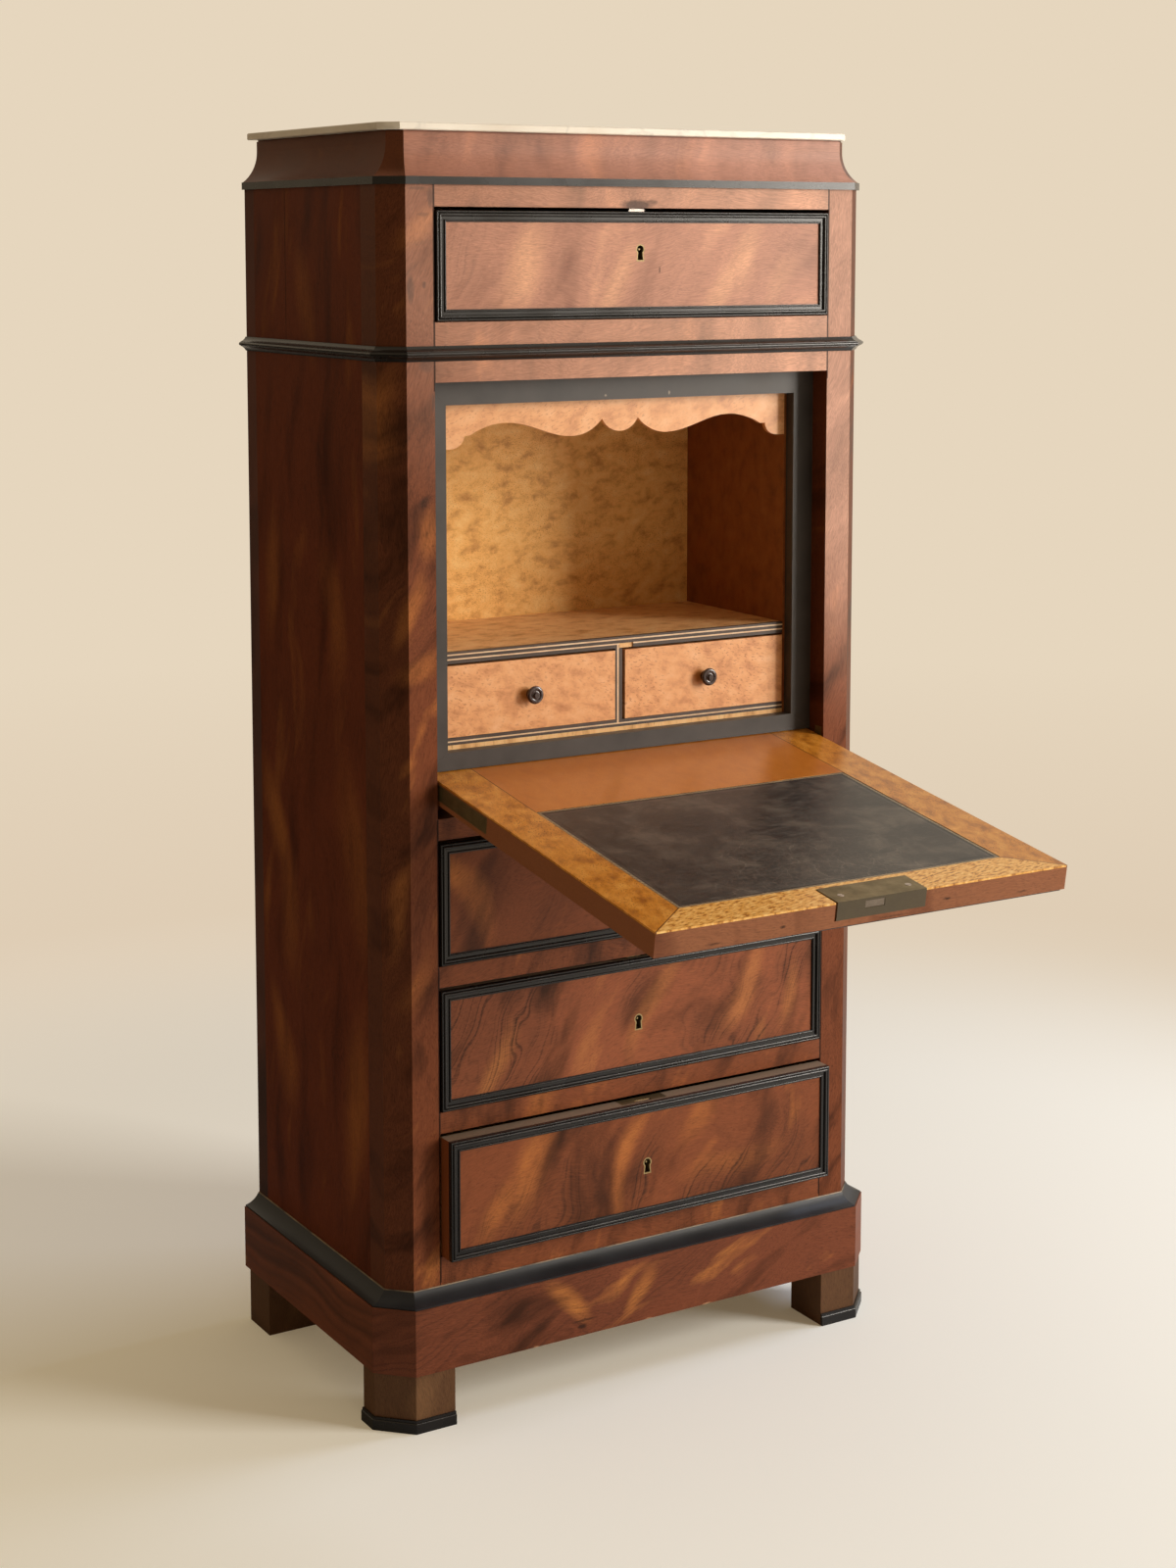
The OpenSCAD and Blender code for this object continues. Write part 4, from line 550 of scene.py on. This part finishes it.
dress(["lower_drawer_front"], mahogany("mahogany_lower_drawer", "front", 10, CASE_TONES, veins=0.9,
    seed=8.0, edges=EDGES, flames=[(-150, 270, 66, 70, 26, 0.75), (-190, 225, 60, 50, 16, 0.6),
    (-20, 262, 66, 80, 14, 0.8), (75, 300, 70, 50, 16, 0.5), (120, 240, 20, 60, 16, 0.4)],
    knots=[(5, 235, 66, 70, 20, 0.9), (185, 265, 66, 60, 20, 0.95), (200, 245, 10, 60, 14, 0.8),
    (-100, 300, 40, 50, 14, 0.6)]))


# Fall
# A mahogany framed panel, its inner face cross-banded in birch round a black leather, hung on two
# brass pivot plates.  It lies open, eight and a half degrees below level.

# how far the fall is open, its pivot, and how far back the closed fall's two faces lie
OPEN = math.radians(98.5)
PIVOT = Vector((0, 0.04554465, 0.7167))
OUTER_FACE, INNER_FACE = 0.03524465, 0.06224465
dress(["fall_panel"],
    marked(mahogany("mahogany_fall", "level", 2, ("#5A2C18", "#8E5A3C", "#AC744C"), veins=0.12,
    contrast=0.8, seed=12.0, edges=("#8A5034", "#8A5230")), "#26160E",
    [(-108, -405, 650, 4, 4, 2.4, 0.85), (99, -405, 651, 6, 4, 2, 0.85),
    (-190, -405, 644, 12, 5, 1.4, 0.6), (30, -405, 642, 30, 5, 1.4, 0.5),
    (200, -405, 645, 9, 5, 1.6, 0.6)]))
banding = birch("birch_banding", "level", 70, ("#7E420C", "#C47E28", "#DEA04A"), fleck=0.8,
    curl=0.8, roughness=0.28, marks=(4, 1.6))
dress(["fall_banding"], banding)
# the bands meet on a mitre from the leather's corners; the front one is paler and more mottled,
# and the field behind the leather is a plainer, browner leaf; a joint's width is a share of the
# band's
SIDE_INNER, MITRE_LINE, BUTT_LINE, FIELD_STRENGTH = 0.2045, 0.018, 0.012, 0.82
leather_low, leather_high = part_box("writing_leather")
band_low, band_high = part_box("fall_banding")
tree = banding.node_tree
shader = tree.nodes["Principled BSDF"]
wood = shader.inputs["Base Color"].links[0].from_socket
spot = add_node(tree, "SeparateXYZ", {"Vector": add_node(tree, "TexCoord").outputs["Object"]})
aside = add_node(tree, "Math", {0: spot.outputs["X"]}, operation="ABSOLUTE")
out_side = add_node(tree, "MapRange", {"Value": aside, "From": (SIDE_INNER, band_high[0])},
    clamp=False)
out_front = add_node(tree, "MapRange",
    {"Value": spot.outputs["Y"], "From": (leather_low[1], band_low[1])}, clamp=False)
past = add_node(tree, "Math", {0: out_front, 1: out_side}, operation="SUBTRACT")
in_front = add_node(tree, "Math", {0: past, 1: 0.0}, operation="GREATER_THAN")
mottle_way = add_node(tree, "Mapping", {"Vector": add_node(tree, "TexCoord").outputs["Object"],
    **on_face("level", 0, 0, 15, 9, 3)}, vector_type="TEXTURE")
mottle = add_node(tree, "TexNoise", {"Vector": mottle_way, "Scale": 1.0, "Detail": 3.0,
    "Roughness": 0.6})
pale_band = add_node(tree, "ValToRGB", {"Fac": mottle},
    stops=[(0.36, "#9E601C"), (0.47, "#E0A24C"), (0.66, "#F4C87C")])
fronted = add_node(tree, "Mix", {0: in_front, 6: wood, 7: pale_band}, data_type="RGBA")
between = add_node(tree, "Math", {0: out_side, 1: 0.0}, operation="LESS_THAN")
behind = add_node(tree, "Math", {0: spot.outputs["Y"], 1: leather_high[1]},
    operation="GREATER_THAN")
field = add_node(tree, "Math", {0: between, 1: behind}, operation="MULTIPLY")
plain = add_node(tree, "Math", {0: field, 1: FIELD_STRENGTH}, operation="MULTIPLY")
leaf = add_node(tree, "Mix", {0: plain, 6: fronted, 7: linear("#B66A26")}, data_type="RGBA")
nearness = add_node(tree, "Math", {0: past}, operation="ABSOLUTE")
at_mitre = add_node(tree, "Math", {0: nearness, 1: MITRE_LINE}, operation="LESS_THAN")
outside = add_node(tree, "Math", {0: out_front, 1: 0.0}, operation="GREATER_THAN")
mitre = add_node(tree, "Math", {0: at_mitre, 1: outside}, operation="MULTIPLY")
at_butt = add_node(tree, "Math", {0: out_side, 1: 0.0, 2: BUTT_LINE}, operation="COMPARE")
butt = add_node(tree, "Math", {0: at_butt, 1: behind}, operation="MULTIPLY")
joint = add_node(tree, "Math", {0: mitre, 1: butt}, operation="MAXIMUM")
jointed = add_node(tree, "Mix", {0: joint, 6: leaf, 7: linear("#6A3C16")}, data_type="RGBA")
feed(shader, {"Base Color": jointed})


# Writing surface
# Black calf, 409 by 284 mm and 1.6 mm thick, pasted down inside the banding with its edge skived
# and a blind line and a gilt dotted line tooled round it; creased and scuffed with use.

LEATHER_WIDE, LEATHER_LONG, LEATHER_THICK = 0.409, 0.284, 0.0016
GROOVE_FROM, GROOVE_TO, GROOVE_DEEP = 0.0055, 0.0095, 0.0002
bpy.ops.object.select_all(action="DESELECT")
bpy.ops.mesh.primitive_grid_add(x_subdivisions=104, y_subdivisions=72, size=1.0)
leather = bpy.context.object
leather.name = "writing_surface"
leather.scale = (LEATHER_WIDE, LEATHER_LONG, 1.0)
bpy.ops.object.transform_apply(location=False, rotation=False, scale=True)
bpy.ops.object.mode_set(mode="EDIT")
bpy.ops.mesh.select_all(action="DESELECT")
bpy.ops.object.mode_set(mode="OBJECT")
for v in leather.data.vertices:
    edge = min(LEATHER_WIDE / 2 - abs(v.co.x), LEATHER_LONG / 2 - abs(v.co.y))
    v.select = GROOVE_FROM < edge < GROOVE_TO
bpy.ops.object.mode_set(mode="EDIT")
bpy.ops.transform.translate(value=(0, 0, -GROOVE_DEEP))
bpy.ops.object.mode_set(mode="OBJECT")
thick = leather.modifiers.new("thickness", "SOLIDIFY")
thick.thickness = LEATHER_THICK
thick.offset = -1
bpy.ops.object.modifier_apply(modifier=thick.name)
# the grid lies face up; its middle goes to that of the closed fall's leather, whose face is
# sunk a little under the fall's, and then it opens with the fall
LEATHER_FACE, LEATHER_UP = 0.0266, 0.984
closed_middle = Vector((0, LEATHER_FACE + OUTER_FACE, LEATHER_UP))
stand = Matrix.Translation(closed_middle) @ Matrix.Rotation(-math.pi / 2, 4, "X")
swing = Matrix.Translation(PIVOT) @ Matrix.Rotation(OPEN, 4, "X") @ Matrix.Translation(-PIVOT)
leather.matrix_world = swing @ stand
bpy.ops.object.transform_apply(location=True, rotation=True, scale=True)

# calf, vegetable tanned, dyed black and glazed: a tight skin that has gone brown and grey where
# arms have rubbed it, cracked round the lock, the cracks drawn with painted shade and highlight
calf, tree, shader = new_material("black_calf_leather")
flat_place = add_node(tree, "TexCoord").outputs["UV"]
skin_mm = add_node(tree, "Mapping",
    {"Vector": flat_place, "Scale": (LEATHER_WIDE * 1000, LEATHER_LONG * 1000, 1.0)})
cloud = add_node(tree, "TexNoise", {"Vector": skin_mm, "Scale": 0.018, "Detail": 6.0,
    "Roughness": 0.62, "Distortion": 0.4})
dye = add_node(tree, "ValToRGB", {"Fac": cloud}, stops=[(0.36, "#0A0807"), (0.50, "#201B17"),
    (0.66, "#4E463C")])
rub_way = add_node(tree, "Mapping", {"Vector": skin_mm, "Rotation": (0, 0, 0.4),
    "Scale": (0.05, 0.22, 1.0)})
rubs = add_node(tree, "TexNoise", {"Vector": rub_way, "Scale": 1.0, "Detail": 6.0,
    "Roughness": 0.75, "Distortion": 0.6})
scuffs = add_node(tree, "MapRange", {"Value": rubs, "From": (0.50, 0.70), "To": (0.0, 0.6)})
scuffed = add_node(tree, "Mix", {0: scuffs, 6: dye, 7: linear("#5C554B")}, data_type="RGBA")
# cracks: a few long lines that wander, within a hand of the lock at the front edge, raised in the
# relief; their pale lips are painted highlight
WANDER = 26.0  # mm
wobble = add_node(tree, "TexNoise", {"Vector": skin_mm, "Scale": 0.05, "Detail": 4.0})
wandering = add_node(tree, "VectorMath", {0: wobble.outputs["Color"], 1: [WANDER] * 3, 2: skin_mm},
    operation="MULTIPLY_ADD")
cells = add_node(tree, "TexVoronoi", {"Vector": wandering, "Scale": 0.024},
    feature="DISTANCE_TO_EDGE", voronoi_dimensions="2D")
long_line = add_node(tree, "MapRange", {"Value": cells, "From": (0.002, 0.022), "To": (1.0, 0.0)})
worn_off = add_node(tree, "MapRange", {"Value": cloud, "From": (0.44, 0.56), "To": (0.15, 1.0)})
fine_line = add_node(tree, "Math", {0: long_line, 1: worn_off}, operation="MULTIPLY")
small_cells = add_node(tree, "TexVoronoi", {"Vector": wandering, "Scale": 0.11},
    feature="DISTANCE_TO_EDGE", voronoi_dimensions="2D")
crackle = add_node(tree, "MapRange", {"Value": small_cells, "From": (0.01, 0.08),
    "To": (0.14, 0.0)})
fine_line = add_node(tree, "Math", {0: fine_line, 1: crackle}, operation="MAXIMUM")
lock_way = add_node(tree, "Mapping", {"Vector": skin_mm, "Location": (200, 20, 0),
    "Scale": (130, 110, 1)}, vector_type="TEXTURE")
reach = add_node(tree, "VectorMath", {0: lock_way}, operation="LENGTH")
near_lock = add_node(tree, "MapRange", {"Value": reach, "From": (0.7, 1.2), "To": (0.95, 0.0)},
    interpolation_type="SMOOTHSTEP")
cracks = add_node(tree, "Math", {0: fine_line, 1: near_lock}, operation="MULTIPLY")
lips_highlight = add_node(tree, "Mix", {0: cracks, 6: scuffed, 7: linear("#8E8272")}, data_type="RGBA")
# each crack is drawn as a dark fold with pale lips: the dark is painted shade in the fold, the
# pale lips painted highlight on its edges
fold = add_node(tree, "MapRange", {"Value": cells, "From": (0.004, 0.010), "To": (1.0, 0.0)})
fold_shade = add_node(tree, "Math", {0: fold, 1: near_lock}, operation="MULTIPLY")
cracked = add_node(tree, "Mix", {0: fold_shade, 6: lips_highlight, 7: linear("#0C0A08")}, data_type="RGBA")
# the tooled border: mm to the nearest edge, a roped gilt line 1 to 4.2 mm in and a blind line
# at 4.6 to 6.6 mm
here = add_node(tree, "SeparateXYZ", {"Vector": skin_mm})
to_edges = []
for axis, across in (("X", LEATHER_WIDE * 1000), ("Y", LEATHER_LONG * 1000)):
    rest = add_node(tree, "Math", {0: across, 1: here.outputs[axis]}, operation="SUBTRACT")
    to_edges.append(add_node(tree, "Math", {0: here.outputs[axis], 1: rest}, operation="MINIMUM"))
inset = add_node(tree, "Math", {0: to_edges[0], 1: to_edges[1]}, operation="MINIMUM")
roped = add_node(tree, "Math", {0: inset, 1: 2.6, 2: 1.6}, operation="COMPARE")
blind = add_node(tree, "Math", {0: inset, 1: 5.6, 2: 1.0}, operation="COMPARE")
slant = add_node(tree, "Math", {0: here.outputs["X"], 1: here.outputs["Y"]}, operation="ADD")
twist = add_node(tree, "Math", {0: slant, 1: 1.3}, operation="MULTIPLY")
beads = add_node(tree, "Math", {0: twist}, operation="SINE")
gilt = add_node(tree, "MapRange", {"Value": beads, "From": (-0.3, 0.4), "To": (0.25, 0.9)})
left_gilt = add_node(tree, "MapRange", {"Value": rubs, "From": (0.40, 0.60), "To": (0.5, 1.0)})
line = add_node(tree, "Math", {0: gilt, 1: left_gilt}, operation="MULTIPLY")
gilded = add_node(tree, "Math", {0: line, 1: roped}, operation="MULTIPLY")
ruled = add_node(tree, "Mix", {0: blind, 6: cracked, 7: linear("#0B0807")}, data_type="RGBA")
tooled = add_node(tree, "Mix", {0: gilded, 6: ruled, 7: linear("#B8A27A")}, data_type="RGBA")
glaze = add_node(tree, "MapRange", {"Value": rubs, "From": (0.35, 0.7), "To": (0.36, 0.52)})
# the grain of the skin, a third of a millimetre deep in its creases, drawn 1.5 mm across
pebbles = add_node(tree, "TexVoronoi", {"Vector": skin_mm, "Scale": 0.65})
relief = add_node(tree, "Math", {0: pebbles, 1: 0.5, 2: cracks}, operation="MULTIPLY_ADD")
bump = add_node(tree, "Bump", {"Height": relief, "Strength": 0.25, "Distance": 0.0003},
    invert=True)
feed(shader, {"Base Color": tooled, "Roughness": glaze, "Normal": bump,
    "Specular IOR Level": 0.75})
leather.data.materials.append(marked(calf, "#080606", [(-177, -121, 708.6, 6, 4, 6, 0.8)]))
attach(leather, "fall")
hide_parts("writing_leather")


# Locks and pivots
# Cast and filed brass, screwed and let into the fronts, the fall and the posts, the plate of the
# fall's lock browned with an olive skin; the bolts that slide in the locks are steel.

def old_metal(name, tones, roughness, rub, front=None):
    """Brass or steel with a dull skin, brighter where it is rubbed; front is the tone of the
    faces that look to the front."""
    material, tree, shader = new_material(name)
    place = add_node(tree, "TexCoord").outputs["Object"]
    skin = add_node(tree, "TexNoise", {"Vector": place, "Scale": 55.0, "Detail": 6.0,
        "Roughness": 0.6})
    colour = add_node(tree, "ValToRGB", {"Fac": skin}, stops=[(0.2, tones[0]), (0.5, tones[1]),
        (0.8, tones[2])])
    if front:
        normal = add_node(tree, "TexCoord").outputs["Normal"]
        turned = add_node(tree, "SeparateXYZ", {"Vector": normal}).outputs["Y"]
        ahead = add_node(tree, "Math", {0: turned, 1: -0.7}, operation="LESS_THAN")
        tarnish = add_node(tree, "Math", {0: ahead, 1: 0.8}, operation="MULTIPLY")
        colour = add_node(tree, "Mix", {0: tarnish, 6: colour, 7: linear(front)}, data_type="RGBA")
    rough = add_node(tree, "MapRange", {"Value": skin, "From": (0.3, 0.7),
        "To": (roughness + 0.1, roughness - 0.08)})
    feed(shader, {"Base Color": colour, "Roughness": rough, "Metallic": rub})
    return material


brass = old_metal("patinated_brass", ("#6A5A3C", "#86734E", "#A08A62"), 0.45, 0.8)
steel = old_metal("filed_steel", ("#8C8078", "#B8ACA4", "#D6CCC4"), 0.35, 0.9)
dress(["fall_pivots", "pivot_sockets"], brass)
dress([d + "_drawer_lock" for d in DRAWERS],
    old_metal("rubbed_brass", ("#463A28", "#5E5036", "#766444"), 0.4, 0.3, front="#A68E5E"))
dress(["fall_lock"], old_metal("browned_brass", ("#62563C", "#786A4A", "#8A7A56"), 0.42, 0.75,
    front="#564E44"))
dress([d + "_drawer_bolt" for d in DRAWERS], steel)
dress(["fall_bolt"], old_metal("browned_steel", ("#5E544A", "#7C7064", "#9A8E80"), 0.45, 0.8))

# two slotted countersunk screws hold the plate of the fall's lock, their heads flush in it: the
# head's radius and depth, its rim's width and rise, half the slot's width, its depth, how proud
# the head stands, and the height of the screws on the closed fall
HEAD, HEAD_DEEP, RIM, RIM_UP = 0.0035, 0.001, 0.0003, 0.0001
SLOT, SLOT_DEEP, PROUD, SCREWS_UP, TOLERANCE = 0.0004, 0.0006, 0.00015, 1.1545, 1e-6
bpy.ops.object.select_all(action="DESELECT")
bpy.ops.mesh.primitive_cylinder_add(vertices=32, radius=HEAD, depth=HEAD_DEEP,
    end_fill_type="NGON")
screw = bpy.context.object
bpy.ops.object.mode_set(mode="EDIT")
bpy.ops.mesh.select_all(action="DESELECT")
bpy.ops.object.mode_set(mode="OBJECT")
for face in screw.data.polygons:
    face.select = face.normal.z > 0.9
bpy.ops.object.mode_set(mode="EDIT")
bpy.ops.mesh.inset(thickness=RIM)
bpy.ops.mesh.extrude_region_move(TRANSFORM_OT_translate={"value": (0, 0, RIM_UP)})
bpy.ops.mesh.bisect(plane_co=(0, -SLOT, 0), plane_no=(0, 1, 0))
bpy.ops.object.mode_set(mode="OBJECT")
top = max(v.co.z for v in screw.data.vertices)
for face in screw.data.polygons:
    face.select = face.center.z > top - TOLERANCE and face.center.y > -SLOT
bpy.ops.object.mode_set(mode="EDIT")
bpy.ops.mesh.bisect(plane_co=(0, SLOT, 0), plane_no=(0, 1, 0))
bpy.ops.object.mode_set(mode="OBJECT")
for face in screw.data.polygons:
    face.select = face.center.z > top - TOLERANCE and abs(face.center.y) < SLOT
bpy.ops.object.mode_set(mode="EDIT")
bpy.ops.mesh.extrude_region_move(TRANSFORM_OT_translate={"value": (0, 0, -SLOT_DEEP)})
bpy.ops.object.mode_set(mode="OBJECT")
screw.data.materials.append(steel)
for name, x, turn in (("lock_screw_left", -0.0279, 15), ("lock_screw_right", 0.0578, -30)):
    bpy.ops.object.select_all(action="DESELECT")
    head = bpy.data.objects.new(name, screw.data.copy())
    bpy.context.scene.collection.objects.link(head)
    closed_place = Matrix.Translation((x, INNER_FACE + PROUD - top, SCREWS_UP))
    facing_in = Matrix.Rotation(-math.pi / 2, 4, "X") @ Matrix.Rotation(math.radians(turn), 4, "Z")
    head.matrix_world = swing @ closed_place @ facing_in
    head.select_set(True)
    bpy.context.view_layer.objects.active = head
    bpy.ops.object.transform_apply(location=True, rotation=True, scale=True)
    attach(head, "fall")
bpy.data.objects.remove(screw)


# Set, light and camera
# A pale seamless paper floor that runs up out of sight, lit by a broad warm softbox to the right
# of the front and a cooler one at the right side, with even room light round it.

bpy.ops.object.select_all(action="DESELECT")
bpy.ops.mesh.primitive_circle_add(vertices=96, radius=40, fill_type="NGON")
floor = bpy.context.object
floor.name = "studio_floor"
paper, tree, shader = new_material("studio_paper")
feed(shader, {"Base Color": linear("#F0F3F0"), "Roughness": 0.9, "Specular IOR Level": 0.1})
place = add_node(tree, "TexCoord").outputs["Object"]
away = add_node(tree, "VectorMath", {0: place}, operation="LENGTH")
# the paper's sweep: past two metres the eye and the gloss see its far tone, with a darker band
# about 2.2 m out that paints the shade of the sweep's cove, and nearer by the eye sees it a little
# lighter than the lamps leave it
BACKDROP, DIM_LEFT = "#E6D6BE", 0.04
sweep = add_node(tree, "MapRange", {"Value": away, "From": (1.5, 9.0)})
far_tone = add_node(tree, "ValToRGB", {"Fac": sweep}, stops=[(0.0, "#E2D4C0"), (0.10, "#DFCDB5"),
    (0.5, BACKDROP)])
far_paper = add_node(tree, "Emission", {"Color": far_tone})
ray = add_node(tree, "LightPath")
sideways = add_node(tree, "SeparateXYZ", {"Vector": place}).outputs["X"]
even = add_node(tree, "MapRange", {"Value": sideways, "From": (-1.2, 0.4), "To": (0.26, 0.11)})
to_eye = add_node(tree, "Math", {0: ray.outputs["Is Camera Ray"], 1: even}, operation="MULTIPLY")
lift = add_node(tree, "Emission", {"Color": linear("#EAD2A8"), "Strength": to_eye})
near_paper = add_node(tree, "AddShader", {0: shader, 1: lift})
distance = add_node(tree, "MapRange", {"Value": away, "From": (1.1, 2.1)},
    interpolation_type="SMOOTHSTEP")
bright = add_node(tree, "MapRange", {"Value": sideways, "From": (-1.0, 1.0),
    "To": (DIM_LEFT, 1.0)})
gloss = add_node(tree, "Math", {0: ray.outputs["Is Glossy Ray"], 1: bright}, operation="MULTIPLY")
looks = add_node(tree, "Math", {0: ray.outputs["Is Camera Ray"], 1: gloss}, operation="MAXIMUM")
share = add_node(tree, "Math", {0: distance, 1: looks}, operation="MULTIPLY")
mix = add_node(tree, "MixShader", {0: share, 1: near_paper, 2: far_paper})
# the gloss finds the floor dark to the left: a painted dark reflection that stands in for the
# case's own shadow and a black screen there
dark_reflection_share = add_node(tree, "Math", {0: ray.outputs["Is Glossy Ray"], 1: gloss},
    operation="SUBTRACT")
painted_dark_reflection = add_node(tree, "Emission", {"Color": linear("#4A3A2A"), "Strength": 0.3})
set_floor = add_node(tree, "MixShader", {0: dark_reflection_share, 1: mix, 2: painted_dark_reflection})
feed(tree.nodes["Material Output"], {"Surface": set_floor})
floor.data.materials.append(paper)

# the room: warm and dim for the light it gives; the eye sees the backdrop's own tone, and so
# does the gloss to the right, while the left of the room is dark
world = bpy.data.worlds.new("studio")
bpy.context.scene.world = world
world.use_nodes = True
tree = world.node_tree
room = tree.nodes["Background"]
feed(room, {"Color": linear("#F2D6AC"), "Strength": 0.36})
seen = add_node(tree, "Background", {"Color": linear(BACKDROP), "Strength": 1.0})
ray = add_node(tree, "LightPath")
sky = add_node(tree, "TexCoord").outputs["Generated"]
sideways = add_node(tree, "SeparateXYZ", {"Vector": sky}).outputs["X"]
bright = add_node(tree, "MapRange", {"Value": sideways, "From": (-0.5, 0.5),
    "To": (DIM_LEFT, 1.0)})
gloss = add_node(tree, "Math", {0: ray.outputs["Is Glossy Ray"], 1: bright}, operation="MULTIPLY")
looks = add_node(tree, "Math", {0: ray.outputs["Is Camera Ray"], 1: gloss}, operation="MAXIMUM")
pick = add_node(tree, "MixShader", {0: looks, 1: room, 2: seen})
feed(tree.nodes["World Output"], {"Surface": pick})

# two softboxes five metres off: the key, right of the front and a little above the fall, and a
# cooler one at the right side that throws the shadow along the floor to the left
AIM_UP, LAMPS_OFF = 0.9, 5.0
for name, azimuth, elevation, wide, high, watts, tint in (
        ("key_softbox", 48, 13, 1.5, 2.8, 256, "#FFF8EE"),
        ("side_softbox", 86, 30, 1.8, 1.8, 112, "#D6E4FF")):
    azimuth, elevation = math.radians(azimuth), math.radians(elevation)
    flat = math.cos(elevation)
    back = Vector((math.sin(azimuth) * flat, -math.cos(azimuth) * flat, math.sin(elevation)))
    lamp = bpy.data.lights.new(name, "AREA")
    lamp.shape = "RECTANGLE"
    lamp.size, lamp.size_y = wide, high
    lamp.energy = watts
    lamp.color = linear(tint)[:3]
    softbox = bpy.data.objects.new(name, lamp)
    bpy.context.scene.collection.objects.link(softbox)
    softbox.location = Vector((0, 0, AIM_UP)) + back * LAMPS_OFF
    softbox.rotation_mode = "QUATERNION"
    softbox.rotation_quaternion = (-back).to_track_quat("-Z", "Y")

# the camera stands to the left of the front, its lens shifted down to keep the case upright
lens = bpy.data.cameras.new("studio_camera")
lens.lens = 58.742
lens.shift_y = -0.16
camera = bpy.data.objects.new("studio_camera", lens)
bpy.context.scene.collection.objects.link(camera)
camera.location = (-1.5475, -2.4171, 1.3208)
camera.rotation_euler = (math.radians(83.5456), 0, math.radians(-31.088))
bpy.context.scene.camera = camera
bpy.context.scene.view_settings.view_transform = "Standard"
